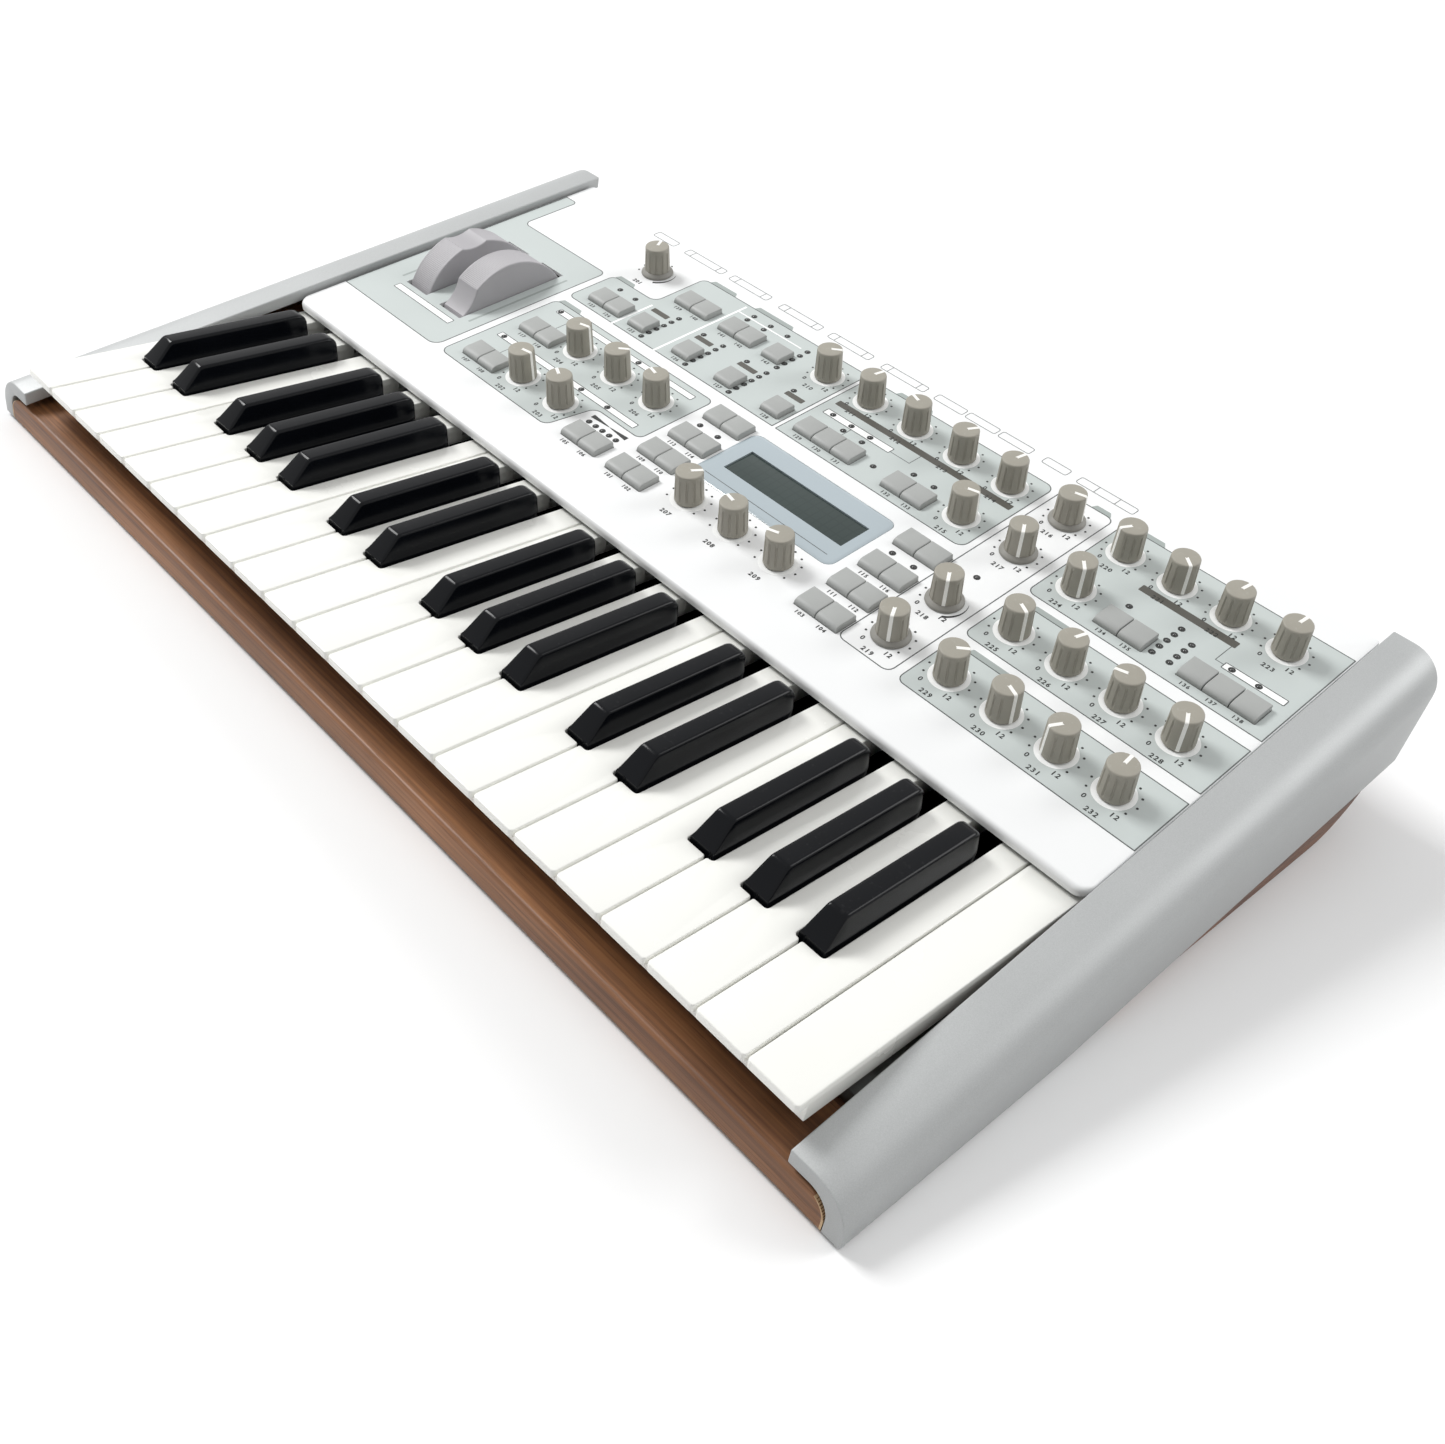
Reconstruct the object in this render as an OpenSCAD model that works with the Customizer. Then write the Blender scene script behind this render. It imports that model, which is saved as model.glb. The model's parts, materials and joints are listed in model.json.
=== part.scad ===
/* [Keyboard] */
// Distance from one white key to the next
key_pitch = 23.5; // [22.8:0.1:24.5]
// Gap between neighbouring white keys
key_gap = 1; // [0.6:0.1:1.4]
// Height of the white keys' tops above the table
key_top_h = 38; // [36:0.5:46]
// Length of white key that shows in front of the panel
key_show = 143; // [138:1:160]
// Thickness of a white key's top plate, seen at its front lip
key_plate_t = 3.5; // [2.5:0.5:5]
// Depth of a whole white key, plate and ribs
key_h = 12.5; // [11:0.5:14]
// Wall thickness of the ribs under a white key
key_wall = 1.5; // [1:0.1:2]
// Radius of a white key's front corners
key_corner_r = 1.6; // [0.8:0.1:3]
// Angle that a key turns through when it is pressed
key_travel = 3; // [2:0.5:3.5]
// Distance from a white key's front edge to the pivot rod
key_pivot_len = 184; // [176:1:190]
// Diameter of the pivot rod
pivot_d = 4; // [3:0.5:5]
// Width of a black key at its foot
black_w = 12; // [11:0.1:12.6]
// Width of a black key's top
black_top_w = 8.6; // [7.5:0.1:9.5]
// Height of a black key above the white ones
black_h = 11.5; // [10:0.5:13]
// Distance from the white keys' front edge to the black keys' front
black_start = 49.8; // [46:0.2:54]
// Length of a black key at its foot
black_len = 83; // [78:1:86]

/* [Case] */
// Height of the case's underside above the table
foot_h = 1.5; // [1:0.5:4]
// Thickness of the wooden base
base_t = 9; // [7:0.5:11]
// Distance from the base's side edges in to the cheeks' outer faces
base_side_inset = 2.5; // [1:0.5:4]
// Radius of the bend at the back of the base
base_bend_r = 40; // [30:1:45]
// Thickness of the base's side walls
side_t = 6; // [4:0.5:7]
// Height of the front rail
rail_h = 12.5; // [10:0.5:13]
// Depth of the front rail, front to back
rail_d = 30; // [24:1:34]
// Radius of the front rail's upper front edge
rail_edge_r = 2; // [1:0.5:6]
// Gap from the case's front to the white keys' front edge
front_gap = 2.5; // [1:0.5:5]
// Gap between the end keys and the cheeks
end_gap = 2.7; // [1.5:0.1:5]
// Width of a cheek, from its inner edge to its outer face
cheek_w = 26.3; // [24:0.1:32]
// Radius of a cheek's rounded shoulder
cheek_round_r = 16.4; // [12:0.2:20]
// Thickness of a cheek's upright leg
cheek_t = 8; // [6:0.5:9]
// Thickness of a cheek's top flange
cheek_flange_t = 6.2; // [5:0.1:8]
// Radius inside a cheek, between leg and flange
cheek_fillet_r = 9; // [6:0.5:10]
// Height of the cheeks' tops above the panel
cheek_proud = 3.4; // [2:0.1:4]
// Length of cheek behind the panel's rear edge
cheek_tail = 4.9; // [3:0.1:10]
// Height of a cheek's rear lower corner above the table
cheek_rear_h = 29.3; // [20:0.5:36]
// Length of a cheek's level lower edge, from the front
cheek_level_len = 115.5; // [90:0.5:140]

/* [Panel] */
// Slope of the panel
panel_tilt = 9.7; // [8:0.1:12]
// Length of the panel up its slope
panel_len = 200.5; // [198:0.5:220]
// Thickness of the panel's sheet
panel_t = 2; // [1.5:0.1:2.5]
// Height of the panel's front edge above the white keys
panel_front_h = 6.3; // [5.5:0.1:9]
// Depth of the panel's front lip
panel_lip_h = 4.3; // [3:0.1:5]
// Radius of the panel's front corners
panel_corner_r = 6; // [3:0.5:10]
// Gap between the panel and a cheek
panel_gap = 1.2; // [0.6:0.1:2]

/* [Controls] */
// Diameter of a knob at its foot
knob_d = 15; // [13:0.1:16]
// Diameter of a knob's top
knob_top_d = 13; // [11:0.1:14]
// Height of a knob's top above the panel
knob_h = 16; // [12:0.5:20]
// Diameter of a knob's shaft
shaft_d = 6; // [5:0.1:6.4]
// Width of a button cap
cap_w = 12.1; // [11.4:0.1:12.2]
// Depth of a button cap, up the slope
cap_d = 12; // [11:0.1:12.6]
// Height of a button cap above the panel
cap_h = 3; // [2:0.1:4]
// Gap between two caps that share an opening
cap_split = 0.5; // [0.3:0.1:0.8]
// Distance that a button travels
cap_travel = 1; // [0.5:0.1:1.5]
// Diameter of a status light
led_d = 1.5; // [1.2:0.1:1.6]
// Size of the display window across the panel
window_w = 91.5; // [86:0.5:93]
// Size of the display window up the slope
window_d = 44.5; // [40:0.5:46]
// Radius of the display window's corners
window_r = 4.5; // [2:0.5:8]

/* [Wheels] */
// Radius of the pitch and modulation wheels
wheel_r = 36.3; // [35:0.1:38]
// Width of a wheel
wheel_w = 17; // [15:0.1:17.4]
// Width of a wheel's slot in the panel
slot_w = 18.2; // [17.6:0.1:19]
// Depth of the wheels' axle below the panel's surface
axle_depth = 18.5; // [17:0.1:20]
// Diameter of the wheels' axle
axle_d = 6; // [4:0.5:8]
// Length of the finger dent across a wheel's rim
dent_len = 15.5; // [12:0.5:18]
// Depth of the finger dent
dent_depth = 2.3; // [1.8:0.1:3]
// Angle that the pitch wheel turns each way
pitch_travel = 38; // [30:1:38]
// Angle at which the modulation wheel stands towards the player
mod_rest = 47.7; // [40:0.1:48]
// Angle that the modulation wheel turns through
mod_travel = 76; // [60:1:76]

/* [Fits] */
// Gap between pieces that rest on each other
seat = 0.1; // [0.05:0.05:0.2]
// Radial gap of a shaft in its hole
run = 0.05; // [0.02:0.01:0.1]
// Gap around a cap or wheel in the panel
slip = 0.2; // [0.15:0.05:0.3]

/* [Hidden] */
$fn = 64;

// Keyboard: octave pattern, sizes and places that follow from the keys
octave = 7;
octaves = 3;
white_count = octave * octaves + 1;
keyboard_w = white_count * key_pitch;
keyboard_x = -keyboard_w / 2;
black_shift = [-2.3, 2.3, undef, -3.7, 0, 3.7, undef];
notch_gap = 0.9;
notch_half = black_w / 2 + notch_gap;
notch_lead = 1;
key_lip = 6;
rib_inset = 0.5;
plate_behind = 7;
tail_w = 9;
tail_h = 8.5;
tail_below = 4;
tail_lap = 12;
boss_wall = 2.5;
pivot_r = pivot_d / 2;
boss_r = pivot_r + boss_wall;
pivot_drop = 12;
black_lip = 1.3;
black_slope = 9.7;
black_body_h = 6;

// Case: places that follow from the keyboard and the panel
cheek_in_x = keyboard_w / 2 + end_gap;
panel_run = panel_len * cos(panel_tilt);
case_d = front_gap + key_show + panel_run + cheek_tail;
front_y = -case_d / 2;
key_y = front_y + front_gap;
panel_y = key_y + key_show;
panel_z = key_top_h + panel_front_h;
panel_w = 2 * (cheek_in_x - panel_gap);
base_top = foot_h + base_t;
leg_in_x = cheek_in_x + cheek_w - cheek_t;
wall_x = leg_in_x - seat;
apron_x = cheek_in_x + cheek_w - base_side_inset;
apron_lead = 30;
apron_y = front_y + cheek_level_len + apron_lead;
wall_top = cheek_proud - cheek_flange_t - cheek_fillet_r - seat;
rear_t = 1.5;
rear_gap = 0.3;
rear_y = panel_y + (panel_len - panel_t) * cos(panel_tilt) + panel_t * sin(panel_tilt) - rear_gap;
base_rear_y = rear_y - rear_t - seat;
base_front_y = front_y + rail_d + seat;
base_land = 4.5;
base_back_top = foot_h + base_bend_r + base_land;
rear_lap = 8;
rear_low_z = base_back_top - rear_lap;
rear_lip_h = 10;
ledge_lap = 5;
ledge_t = 3;
ledge_end = 8;
far = 400;
cut = 1;

// Keys: heights that follow from the travel
pivot_y = key_y + key_pivot_len;
pivot_z = key_top_h - pivot_drop;
key_under = key_top_h - key_h;
plate_len = key_show + plate_behind;
frame_t = 2.5;
frame_top = base_top + seat + frame_t;
frame_front = 32;
frame_behind = 9;
felt_d = 12;
stop_gap = 0.3;
felt_top = key_under - (key_pivot_len - frame_front) * sin(key_travel) - stop_gap;
contact_from = 90;
contact_to = 125;
contact_inset = 2;
contact_t = 1.6;
dome_r = 3;
dome_h = 2.3;
dome_gap = 0.6;
dome_at = (contact_from + contact_to) / 2;
contact_top = key_under - (key_pivot_len - contact_from) * sin(key_travel) - dome_gap - dome_h;
support_w = 3;
support_d = 12;

// Controls: boards and layers under the panel
board_drop = 12;
board_t = 1.6;
board_left = -178;
board_inset = 7;
board_front = 16;
board_behind = 22.5;
board_back = panel_len - board_behind;
post_r = 2.5;
post_inset = 6;
bushing_wall = 0.6;
bushing_r = shaft_d / 2 + bushing_wall;
bushing_proud = 1.2;
pot_w = 12;
pot_h = 6.9;
pot_depth = 9;
knob_lift = 0.6;
knob_edge = 0.8;
knob_recess_gap = 1.4;
knob_recess_r = bushing_r + knob_recess_gap;
knob_recess_h = 1.4;
pointer_w = 1.3;
pointer_t = 0.25;
cap_flange = 1;
cap_flange_t = 1.6;
cap_stem_w = 3;
cap_stem_h = 3.6;
switch_w = 6;
press_gap = 0.5;
switch_h = board_drop - panel_t - seat - cap_flange_t - cap_stem_h - cap_travel - press_gap;
led_proud = 0.3;
window_proud = 0.3;
module_margin = 6;

// Places on the panel are listed for a panel of this size, and spread with the real one
listed_w = 520;
listed_len = 200.5;
function spread_u(u) = u * panel_w / listed_w;
function spread_v(v) = v * panel_len / listed_len;
window_u = spread_u(29.75);
window_v = spread_v(80.25);
post_us = [board_left + post_inset, spread_u(-12), spread_u(139), panel_w / 2 - board_inset - post_inset];
post_vs = [board_front + post_inset, spread_v(108)];

// Name, place on the panel and pointer angle, clockwise from the back, of each knob
KNOB_LIST = [
  ["volume_knob", [-160, 164], -28],
  ["effect_mix_knob", [-126, 46.7], 79],
  ["effect_intensity_knob", [-96.2, 46.7], -64],
  ["delay_send_knob", [-126, 82.8], 74],
  ["delay_time_knob", [-96.2, 82.8], 48],
  ["delay_feedback_knob", [-67, 82.8], -76],
  ["value_knob_1", [1.1, 43.7], 36],
  ["value_knob_2", [30.1, 43.7], -77],
  ["value_knob_3", [59.1, 43.7], -109],
  ["lfo_rate_knob", [-28.5, 163.3], 52],
  ["osc_shape_knob", [1.1, 163.3], 13],
  ["osc_wave_knob", [30.7, 163.3], -71],
  ["osc_semitone_knob", [60.3, 163.3], 30],
  ["osc_detune_knob", [89.9, 163.3], 11],
  ["fm_amount_knob", [89.9, 129.1], 73],
  ["osc_balance_knob", [123, 163.3], 73],
  ["sub_volume_knob", [123, 129.1], 147],
  ["osc_volume_knob", [123, 80.1], 146],
  ["noise_volume_knob", [123, 46.7], 150],
  ["cutoff_knob", [155, 164.4], -150],
  ["resonance_knob", [182.4, 164.4], 128],
  ["env_amount_knob", [209.8, 164.4], 8],
  ["filter_balance_knob", [237.2, 164.4], 5],
  ["cutoff_2_knob", [155, 129.1], 138],
  ["filter_attack_knob", [155, 87.4], 117],
  ["filter_decay_knob", [182.4, 87.4], 18],
  ["filter_sustain_knob", [209.8, 87.4], -107],
  ["filter_release_knob", [237.2, 87.4], 150],
  ["amp_attack_knob", [155, 46.7], 49],
  ["amp_decay_knob", [182.4, 46.7], 112],
  ["amp_sustain_knob", [209.8, 46.7], -150],
  ["amp_release_knob", [237.2, 46.7], -5]
];
KNOBS = [for (k = KNOB_LIST) [k[0], [spread_u(k[1][0]), spread_v(k[1][1])], k[2]]];

// Middle of each opening for button caps, how many caps stand in it, and the caps one by one
CAP_LIST = [
  [-150.6, 123.8, 2], [-124.6, 123.8, 1], [-89.9, 123.8, 1], [-58, 123.8, 1], [-24.4, 123.8, 1],
  [11.1, 123.8, 3], [62.2, 123.8, 2], [184.8, 123.8, 2], [233.3, 123.8, 3],
  [-119, 157, 2], [-84.9, 157, 2], [-58.4, 157, 1],
  [-30.2, 97.2, 2], [-30.2, 74.8, 2], [-30.2, 55.6, 2], [-30.2, 36.2, 2],
  [94.9, 97.2, 2], [94.9, 74.8, 2], [94.9, 55.6, 2], [94.9, 36.2, 2],
  [-64, 37, 2], [-150.6, 77.8, 2], [-150.6, 42.5, 2]
];
CAP_GROUPS = [for (g = CAP_LIST) [spread_u(g[0]), spread_v(g[1]), g[2]]];
cap_pitch = cap_w + cap_split;
CAPS = [
  for (g = CAP_GROUPS) for (i = [0 : g[2] - 1]) [g[0] + (i - (g[2] - 1) / 2) * cap_pitch, g[1]]
];

// Lights in columns and rows: first place, step between lights, and how many
LED_COLUMNS = [
  [-116.9, 115.7, 5.2, 6], [-82.7, 115.7, 5.2, 6], [-50.4, 115.7, 5.2, 6], [-50.8, 149.2, 5.5, 5],
  [200.3, 121.3, 5.25, 5], [208.9, 121.5, 5.25, 4]
];
LED_ROWS = [
  [-159, 136.8, 12.6, 2], [-93.2, 173.8, 12.5, 3], [-93.2, 168.7, 12.5, 2], [-75, 47.3, 5, 5],
  [-38.4, 86, 12.5, 2], [-3.2, 141.4, 12.4, 3], [9.2, 135.7, 12.4, 2], [55, 135.7, 12.5, 2],
  [87.3, 86.2, 12.5, 2], [228.4, 137.4, 12.8, 2], [-161.5, 61.5, 0, 1], [-161.5, 98.4, 0, 1],
  [-98.7, 61.5, 0, 1], [-78.6, 61.5, 0, 1], [-98.7, 98.4, 0, 1], [-97.1, 141.3, 0, 1],
  [-64.4, 141.3, 0, 1], [-30.4, 141.3, 0, 1], [38.2, 125.9, 0, 1], [177.1, 137.2, 0, 1],
  [122.3, 102, 0, 1]
];
LED_LIST = concat(
  [for (c = LED_COLUMNS) for (i = [0 : c[3] - 1]) [c[0], c[1] + i * c[2]]],
  [for (r = LED_ROWS) for (i = [0 : r[3] - 1]) [r[0] + i * r[2], r[1]]]
);
LEDS = [for (p = LED_LIST) [spread_u(p[0]), spread_v(p[1])]];

// Wheels: places, and the arcs of rim that can be had above the base and behind the keys
pitch_u = spread_u(-229.4);
mod_u = spread_u(-199.4);
wheel_v = spread_v(88.3);
wheel_margin = 0.5;
rim_margin = 1.5;
hub_wall = 6;
hub_r = axle_d / 2 + hub_wall;
axle_y = panel_y + wheel_v * cos(panel_tilt) + axle_depth * sin(panel_tilt);
axle_z = panel_z + wheel_v * sin(panel_tilt) - axle_depth * cos(panel_tilt);
rim_clear = 0.6;
keys_end = pivot_y + boss_r + rim_clear;
keys_top = pivot_z + max(boss_r, tail_h - tail_below);
rim_floor = keys_end > axle_y - wheel_r ? keys_top : base_top;
rim_low = acos((axle_z - rim_floor - rim_clear) / wheel_r);
half_turn = 180;
rim_front = half_turn - rim_low - panel_tilt;
slot_deg = acos(axle_depth / wheel_r) + rim_margin;
slot_half = sqrt(pow(wheel_r, 2) - pow(axle_depth - panel_t, 2)) + wheel_margin;
bracket_t = 3;
bracket_d = 20;
bracket_below = 6;
bracket_gap = 2;
bracket_reach = (wheel_w + bracket_t) / 2 + bracket_gap;
bracket_us = [pitch_u - bracket_reach, (pitch_u + mod_u) / 2, mod_u + bracket_reach];

// Rear sockets: places across the back, seen from the front, and sizes
socket_rise = 12;
socket_z = base_back_top + socket_rise;
jack_xs = [for (u = [-232, -198, -176, -146, -124, -102, -80, -58, -36, -6, 18]) spread_u(u)];
coax_xs = [for (u = [46, 64]) spread_u(u)];
din_xs = [for (u = [90, 114, 138]) spread_u(u)];
usb_x = spread_u(164);
switch_x = spread_u(193);
inlet_x = spread_u(227);
rim_lap = 1;
jack_r = 3.25;
jack_nut_r = 5.6;
jack_body = [14, 14, 16];
socket_proud = 2.2;
coax_r = 4.2;
coax_proud = 6;
coax_bore_r = 1.6;
din_r = 6.8;
din_rim_r = 9;
din_depth = 5.5;
din_back = 4;
coax_wall = 1;
usb_hole = [8.5, 7.8, 10];
inlet_hole = [24, 16, 15];
inlet_pin = [2, 4, 9];
inlet_pins = [[-7, 2], [0, -2], [7, 2]];
pin_root = 0.5;
socket_wall = 1.6;
flange_w = 2;
flange_t = 1;
rocker = [10, 16, 3];
rocker_peak = 3.4;
rocker_edge = 5;
rocker_depth = 2;
rocker_rest = -7;
rocker_hole = [10.4, 19, 7];
rocker_pin_r = 1.2;
rocker_pin_len = rocker_hole[0] + 2 * socket_wall - 1;
rocker_pin_play = 0.6;

// Boards, feet and screws in the base
main_board_w = 340;
main_board_d = 73;
main_board_x = spread_u(-150);
main_board_behind = 47.6;
main_board_y = base_rear_y - main_board_behind - main_board_d;
main_board_rise = 5;
main_board_z = base_top + main_board_rise;
supply_at = [90, 7];
supply = [60, 60, 22];
chip_h = 3;
CHIPS = [[180, 15, 28], [230, 17, 28], [280, 25, 22]];
foot_r = 9;
foot_recess = 3;
foot_inset = 39.4;
foot_front = 18;
foot_back = 12;
foot_xs = [foot_inset - wall_x, wall_x - foot_inset];
foot_ys = [base_front_y + foot_front, base_rear_y - base_bend_r - foot_back];
screw_r = 1.5;
screw_head_r = 3.2;
screw_head_h = 1.8;
rear_screw_xs = [for (u = [-250 : 100 : 250]) spread_u(u)];
rear_screw_z = base_back_top - rear_lap / 2;
base_screw_xs = [for (u = [-210 : 140 : 210]) spread_u(u)];
base_screw_gap = 12;
base_screw_ys = [key_y + frame_front + felt_d + base_screw_gap, pivot_y - support_d];
base_screw_sink = 3;

// Colours
silver = [0.72, 0.73, 0.72];
walnut = [0.32, 0.19, 0.11];
panel_white = [0.92, 0.93, 0.93];
dark_metal = [0.3, 0.3, 0.32];
board_green = [0.1, 0.32, 0.18];
ivory = [0.95, 0.95, 0.92];
ebony = [0.07, 0.08, 0.09];
knob_grey = [0.52, 0.51, 0.48];
cap_grey = [0.65, 0.66, 0.65];
wheel_grey = [0.5, 0.5, 0.53];
near_black = [0.06, 0.06, 0.06];
window_tint = [0.72, 0.78, 0.81];

// Turns a side view, drawn with x to the back and y up, into a piece across the width
module across(width) {
  rotate([90, 0, 90]) linear_extrude(width, center = true) children();
}

// Turns a front view, drawn with x to the right and y up, into a piece that runs back
module backwards(length) {
  rotate([90, 0, 0]) translate([0, 0, -length]) linear_extrude(length) children();
}

// Puts children on the panel: x across it, y up its slope and z out of it
module on_panel() {
  translate([0, panel_y, panel_z]) rotate([panel_tilt, 0, 0]) children();
}

// Puts children on the back: x across it, y down it and z out of it
module on_back(x, z) {
  translate([x, rear_y, z]) rotate([-90, 0, 0]) children();
}

// A cylinder that lies across the width, centred on its axis
module bar(r, length) {
  rotate([0, 90, 0]) cylinder(h = length, r = r, center = true);
}

// A block that stands on z = 0, centred on its axis
module block(w, d, h) {
  translate([-w / 2, -d / 2, 0]) cube([w, d, h]);
}

// A rectangle about the origin with round corners
module round_rect(w, d, r) {
  square([w - 2 * r, d], center = true);
  square([w, d - 2 * r], center = true);
  for (x = [-1, 1], y = [-1, 1]) translate([x * (w / 2 - r), y * (d / 2 - r)]) circle(r);
}

// A rectangle from the origin to the back, with its two front corners round
module front_rounded(w, d, r) {
  translate([0, r]) square([w, d - r]);
  translate([r, 0]) square([w - 2 * r, d]);
  for (x = [r, w - r]) translate([x, r]) circle(r);
}

// Side view of the base, drawn in by inset, with its bend at the back
module base_side(inset, start) {
  r = base_bend_r - inset;
  low = foot_h + inset;
  back = base_rear_y - inset;
  translate([start, low]) square([back - r - start, far]);
  translate([start, low + r]) square([back - start, far]);
  translate([back - r, low + r]) circle(r);
}

// Side view of the space that a cheek fills
module cheek_side() {
  polygon([
    [front_y, foot_h], [front_y + cheek_level_len, foot_h], [-front_y, cheek_rear_h],
    [-front_y, far], [front_y, far]
  ]);
}

module wood_base() color(walnut) difference() {
  union() {
    across(2 * wall_x) base_side(0, base_front_y);
    across(2 * apron_x) difference() {
      base_side(0, apron_y);
      translate([0, -seat]) cheek_side();
    }
  }
  across(2 * (wall_x - side_t)) base_side(base_t, base_front_y - cut);
  on_panel() translate([-far, -far, wall_top]) cube([2 * far, 2 * far, 2 * far]);
  translate([side_t - wall_x, base_rear_y - 2 * base_t, base_back_top])
    cube([2 * (wall_x - side_t), far, far]);
  for (x = foot_xs, y = foot_ys) translate([x, y, 0])
    cylinder(h = foot_h + foot_recess, r = foot_r + seat);
  for (x = rear_screw_xs) on_back(x, rear_screw_z)
    translate([0, 0, -far / 2]) cylinder(h = far, r = screw_r + run);
  for (x = base_screw_xs, y = base_screw_ys) translate([x, y, 0]) {
    cylinder(h = base_top + cut, r = screw_r + run);
    cylinder(h = foot_h + base_screw_sink, r = screw_head_r + seat);
  }
}

module wood_front_rail() color(walnut) intersection() {
  translate([0, front_y, 0]) across(2 * wall_x) translate([0, foot_h]) {
    translate([rail_edge_r, 0]) square([rail_d - rail_edge_r, rail_h]);
    square([rail_d, rail_h - rail_edge_r]);
    translate([rail_edge_r, rail_h - rail_edge_r]) circle(rail_edge_r);
  }
  translate([0, front_y - cut, foot_h]) backwards(rail_d + 2 * cut) {
    square([2 * wall_x, 2 * (rail_h - cheek_fillet_r)], center = true);
    translate([-wall_x + cheek_fillet_r, 0]) square([2 * (wall_x - cheek_fillet_r), rail_h]);
    for (x = [-1, 1]) translate([x * (wall_x - cheek_fillet_r), rail_h - cheek_fillet_r])
      circle(cheek_fillet_r);
  }
}

// A cheek's section, from its inner edge outwards and from its top down
module cheek_section() {
  inner = cheek_w - cheek_t;
  difference() {
    union() {
      translate([0, -far]) square([cheek_w - cheek_round_r, far]);
      translate([0, -far]) square([cheek_w, far - cheek_round_r]);
      translate([cheek_w - cheek_round_r, -cheek_round_r]) circle(cheek_round_r);
    }
    translate([-far, -far]) square([far, 2 * far]);
    translate([-cut, -2 * far]) square([inner + cut - cheek_fillet_r, 2 * far - cheek_flange_t]);
    translate([-cut, -2 * far]) square([inner + cut, 2 * far - cheek_flange_t - cheek_fillet_r]);
    translate([inner - cheek_fillet_r, -cheek_flange_t - cheek_fillet_r]) circle(cheek_fillet_r);
  }
}

// The right cheek: a bent section along the slope, cut level below and square at its ends
module cheek() {
  intersection() {
    on_panel() translate([cheek_in_x, -far, cheek_proud]) backwards(2 * far) cheek_section();
    translate([cheek_in_x, 0, 0]) across(3 * cheek_w) cheek_side();
  }
  on_panel() translate([panel_w / 2 - ledge_lap, ledge_end, -panel_t - seat - ledge_t])
    cube([ledge_lap + panel_gap + (cheek_w - cheek_round_r) / 2, panel_len - 2 * ledge_end, ledge_t]);
}

module right_cheek() color(silver) cheek();

module left_cheek() color(silver) mirror([1, 0, 0]) cheek();

// Outline of the panel's sheet, drawn in by inset at its front and sides
module panel_outline(inset) {
  translate([inset - panel_w / 2, inset])
    front_rounded(panel_w - 2 * inset, panel_len - inset, panel_corner_r - inset);
}

function cap_group_w(count) = count * cap_pitch - cap_split;

module panel_openings() {
  for (k = KNOBS) translate(k[1]) circle(bushing_r + slip);
  for (p = LEDS) translate(p) circle(led_d / 2 + run);
  for (g = CAP_GROUPS) translate([g[0], g[1]])
    square([cap_group_w(g[2]) + 2 * slip, cap_d + 2 * slip], center = true);
  for (u = [pitch_u, mod_u]) translate([u, wheel_v]) square([slot_w, 2 * slot_half], center = true);
  translate([window_u, window_v]) round_rect(window_w + 2 * slip, window_d + 2 * slip, window_r + slip);
}

module top_panel() color(panel_white) on_panel() {
  translate([0, 0, -panel_t]) linear_extrude(panel_t) difference() {
    panel_outline(0);
    panel_openings();
  }
  translate([0, 0, -panel_lip_h]) linear_extrude(panel_lip_h - panel_t / 2) intersection() {
    difference() {
      panel_outline(0);
      panel_outline(panel_t);
    }
    translate([-panel_w, 0]) square([2 * panel_w, panel_corner_r]);
  }
  translate([-panel_w / 2, panel_len - panel_t, -rear_lip_h])
    cube([panel_w, panel_t, rear_lip_h - panel_t / 2]);
}

// Height above the table of a layer of the panel, at a distance along the case
function layer_z(y, height) = panel_z + (y - panel_y) * tan(panel_tilt) + height / cos(panel_tilt);

module rear_panel() color(dark_metal) difference() {
  union() {
    translate([-wall_x, rear_y - rear_t, rear_low_z])
      cube([2 * wall_x, rear_t, layer_z(rear_y - rear_t, wall_top) - rear_low_z]);
    translate([-panel_w / 2, rear_y - rear_t, rear_low_z])
      cube([panel_w, rear_t, layer_z(rear_y - rear_t, -panel_t - seat) - rear_low_z]);
  }
  for (x = rear_screw_xs) on_back(x, rear_screw_z)
    translate([0, 0, -far / 2]) cylinder(h = far, r = screw_r + run);
  for (x = jack_xs) on_back(x, socket_z) translate([0, 0, -far / 2])
    cylinder(h = far, r = jack_nut_r - rim_lap);
  for (x = coax_xs) on_back(x, socket_z) translate([0, 0, -far / 2]) cylinder(h = far, r = coax_r + seat);
  for (x = din_xs) on_back(x, socket_z) translate([0, 0, -far / 2])
    cylinder(h = far, r = din_rim_r - rim_lap);
  around = 2 * (socket_wall + seat);
  for (h = [[usb_x, usb_hole], [inlet_x, inlet_hole], [switch_x, rocker_hole]]) on_back(h[0], socket_z)
    translate([0, 0, -far / 2]) block(h[1][0] + around, h[1][1] + around, far);
}

// A round socket: a rim outside, a sleeve through the plate and a body inside
module round_socket(rim_r, hole_r, depth, body) difference() {
  union() {
    translate([0, 0, seat]) cylinder(h = socket_proud, r = rim_r);
    translate([0, 0, -rear_t - rim_lap])
      cylinder(h = rear_t + rim_lap + socket_proud, r = rim_r - rim_lap - seat);
    translate([0, 0, -rear_t - seat - body[2]]) block(body[0], body[1], body[2]);
  }
  translate([0, 0, socket_proud - depth]) cylinder(h = depth + cut, r = hole_r);
}

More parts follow.
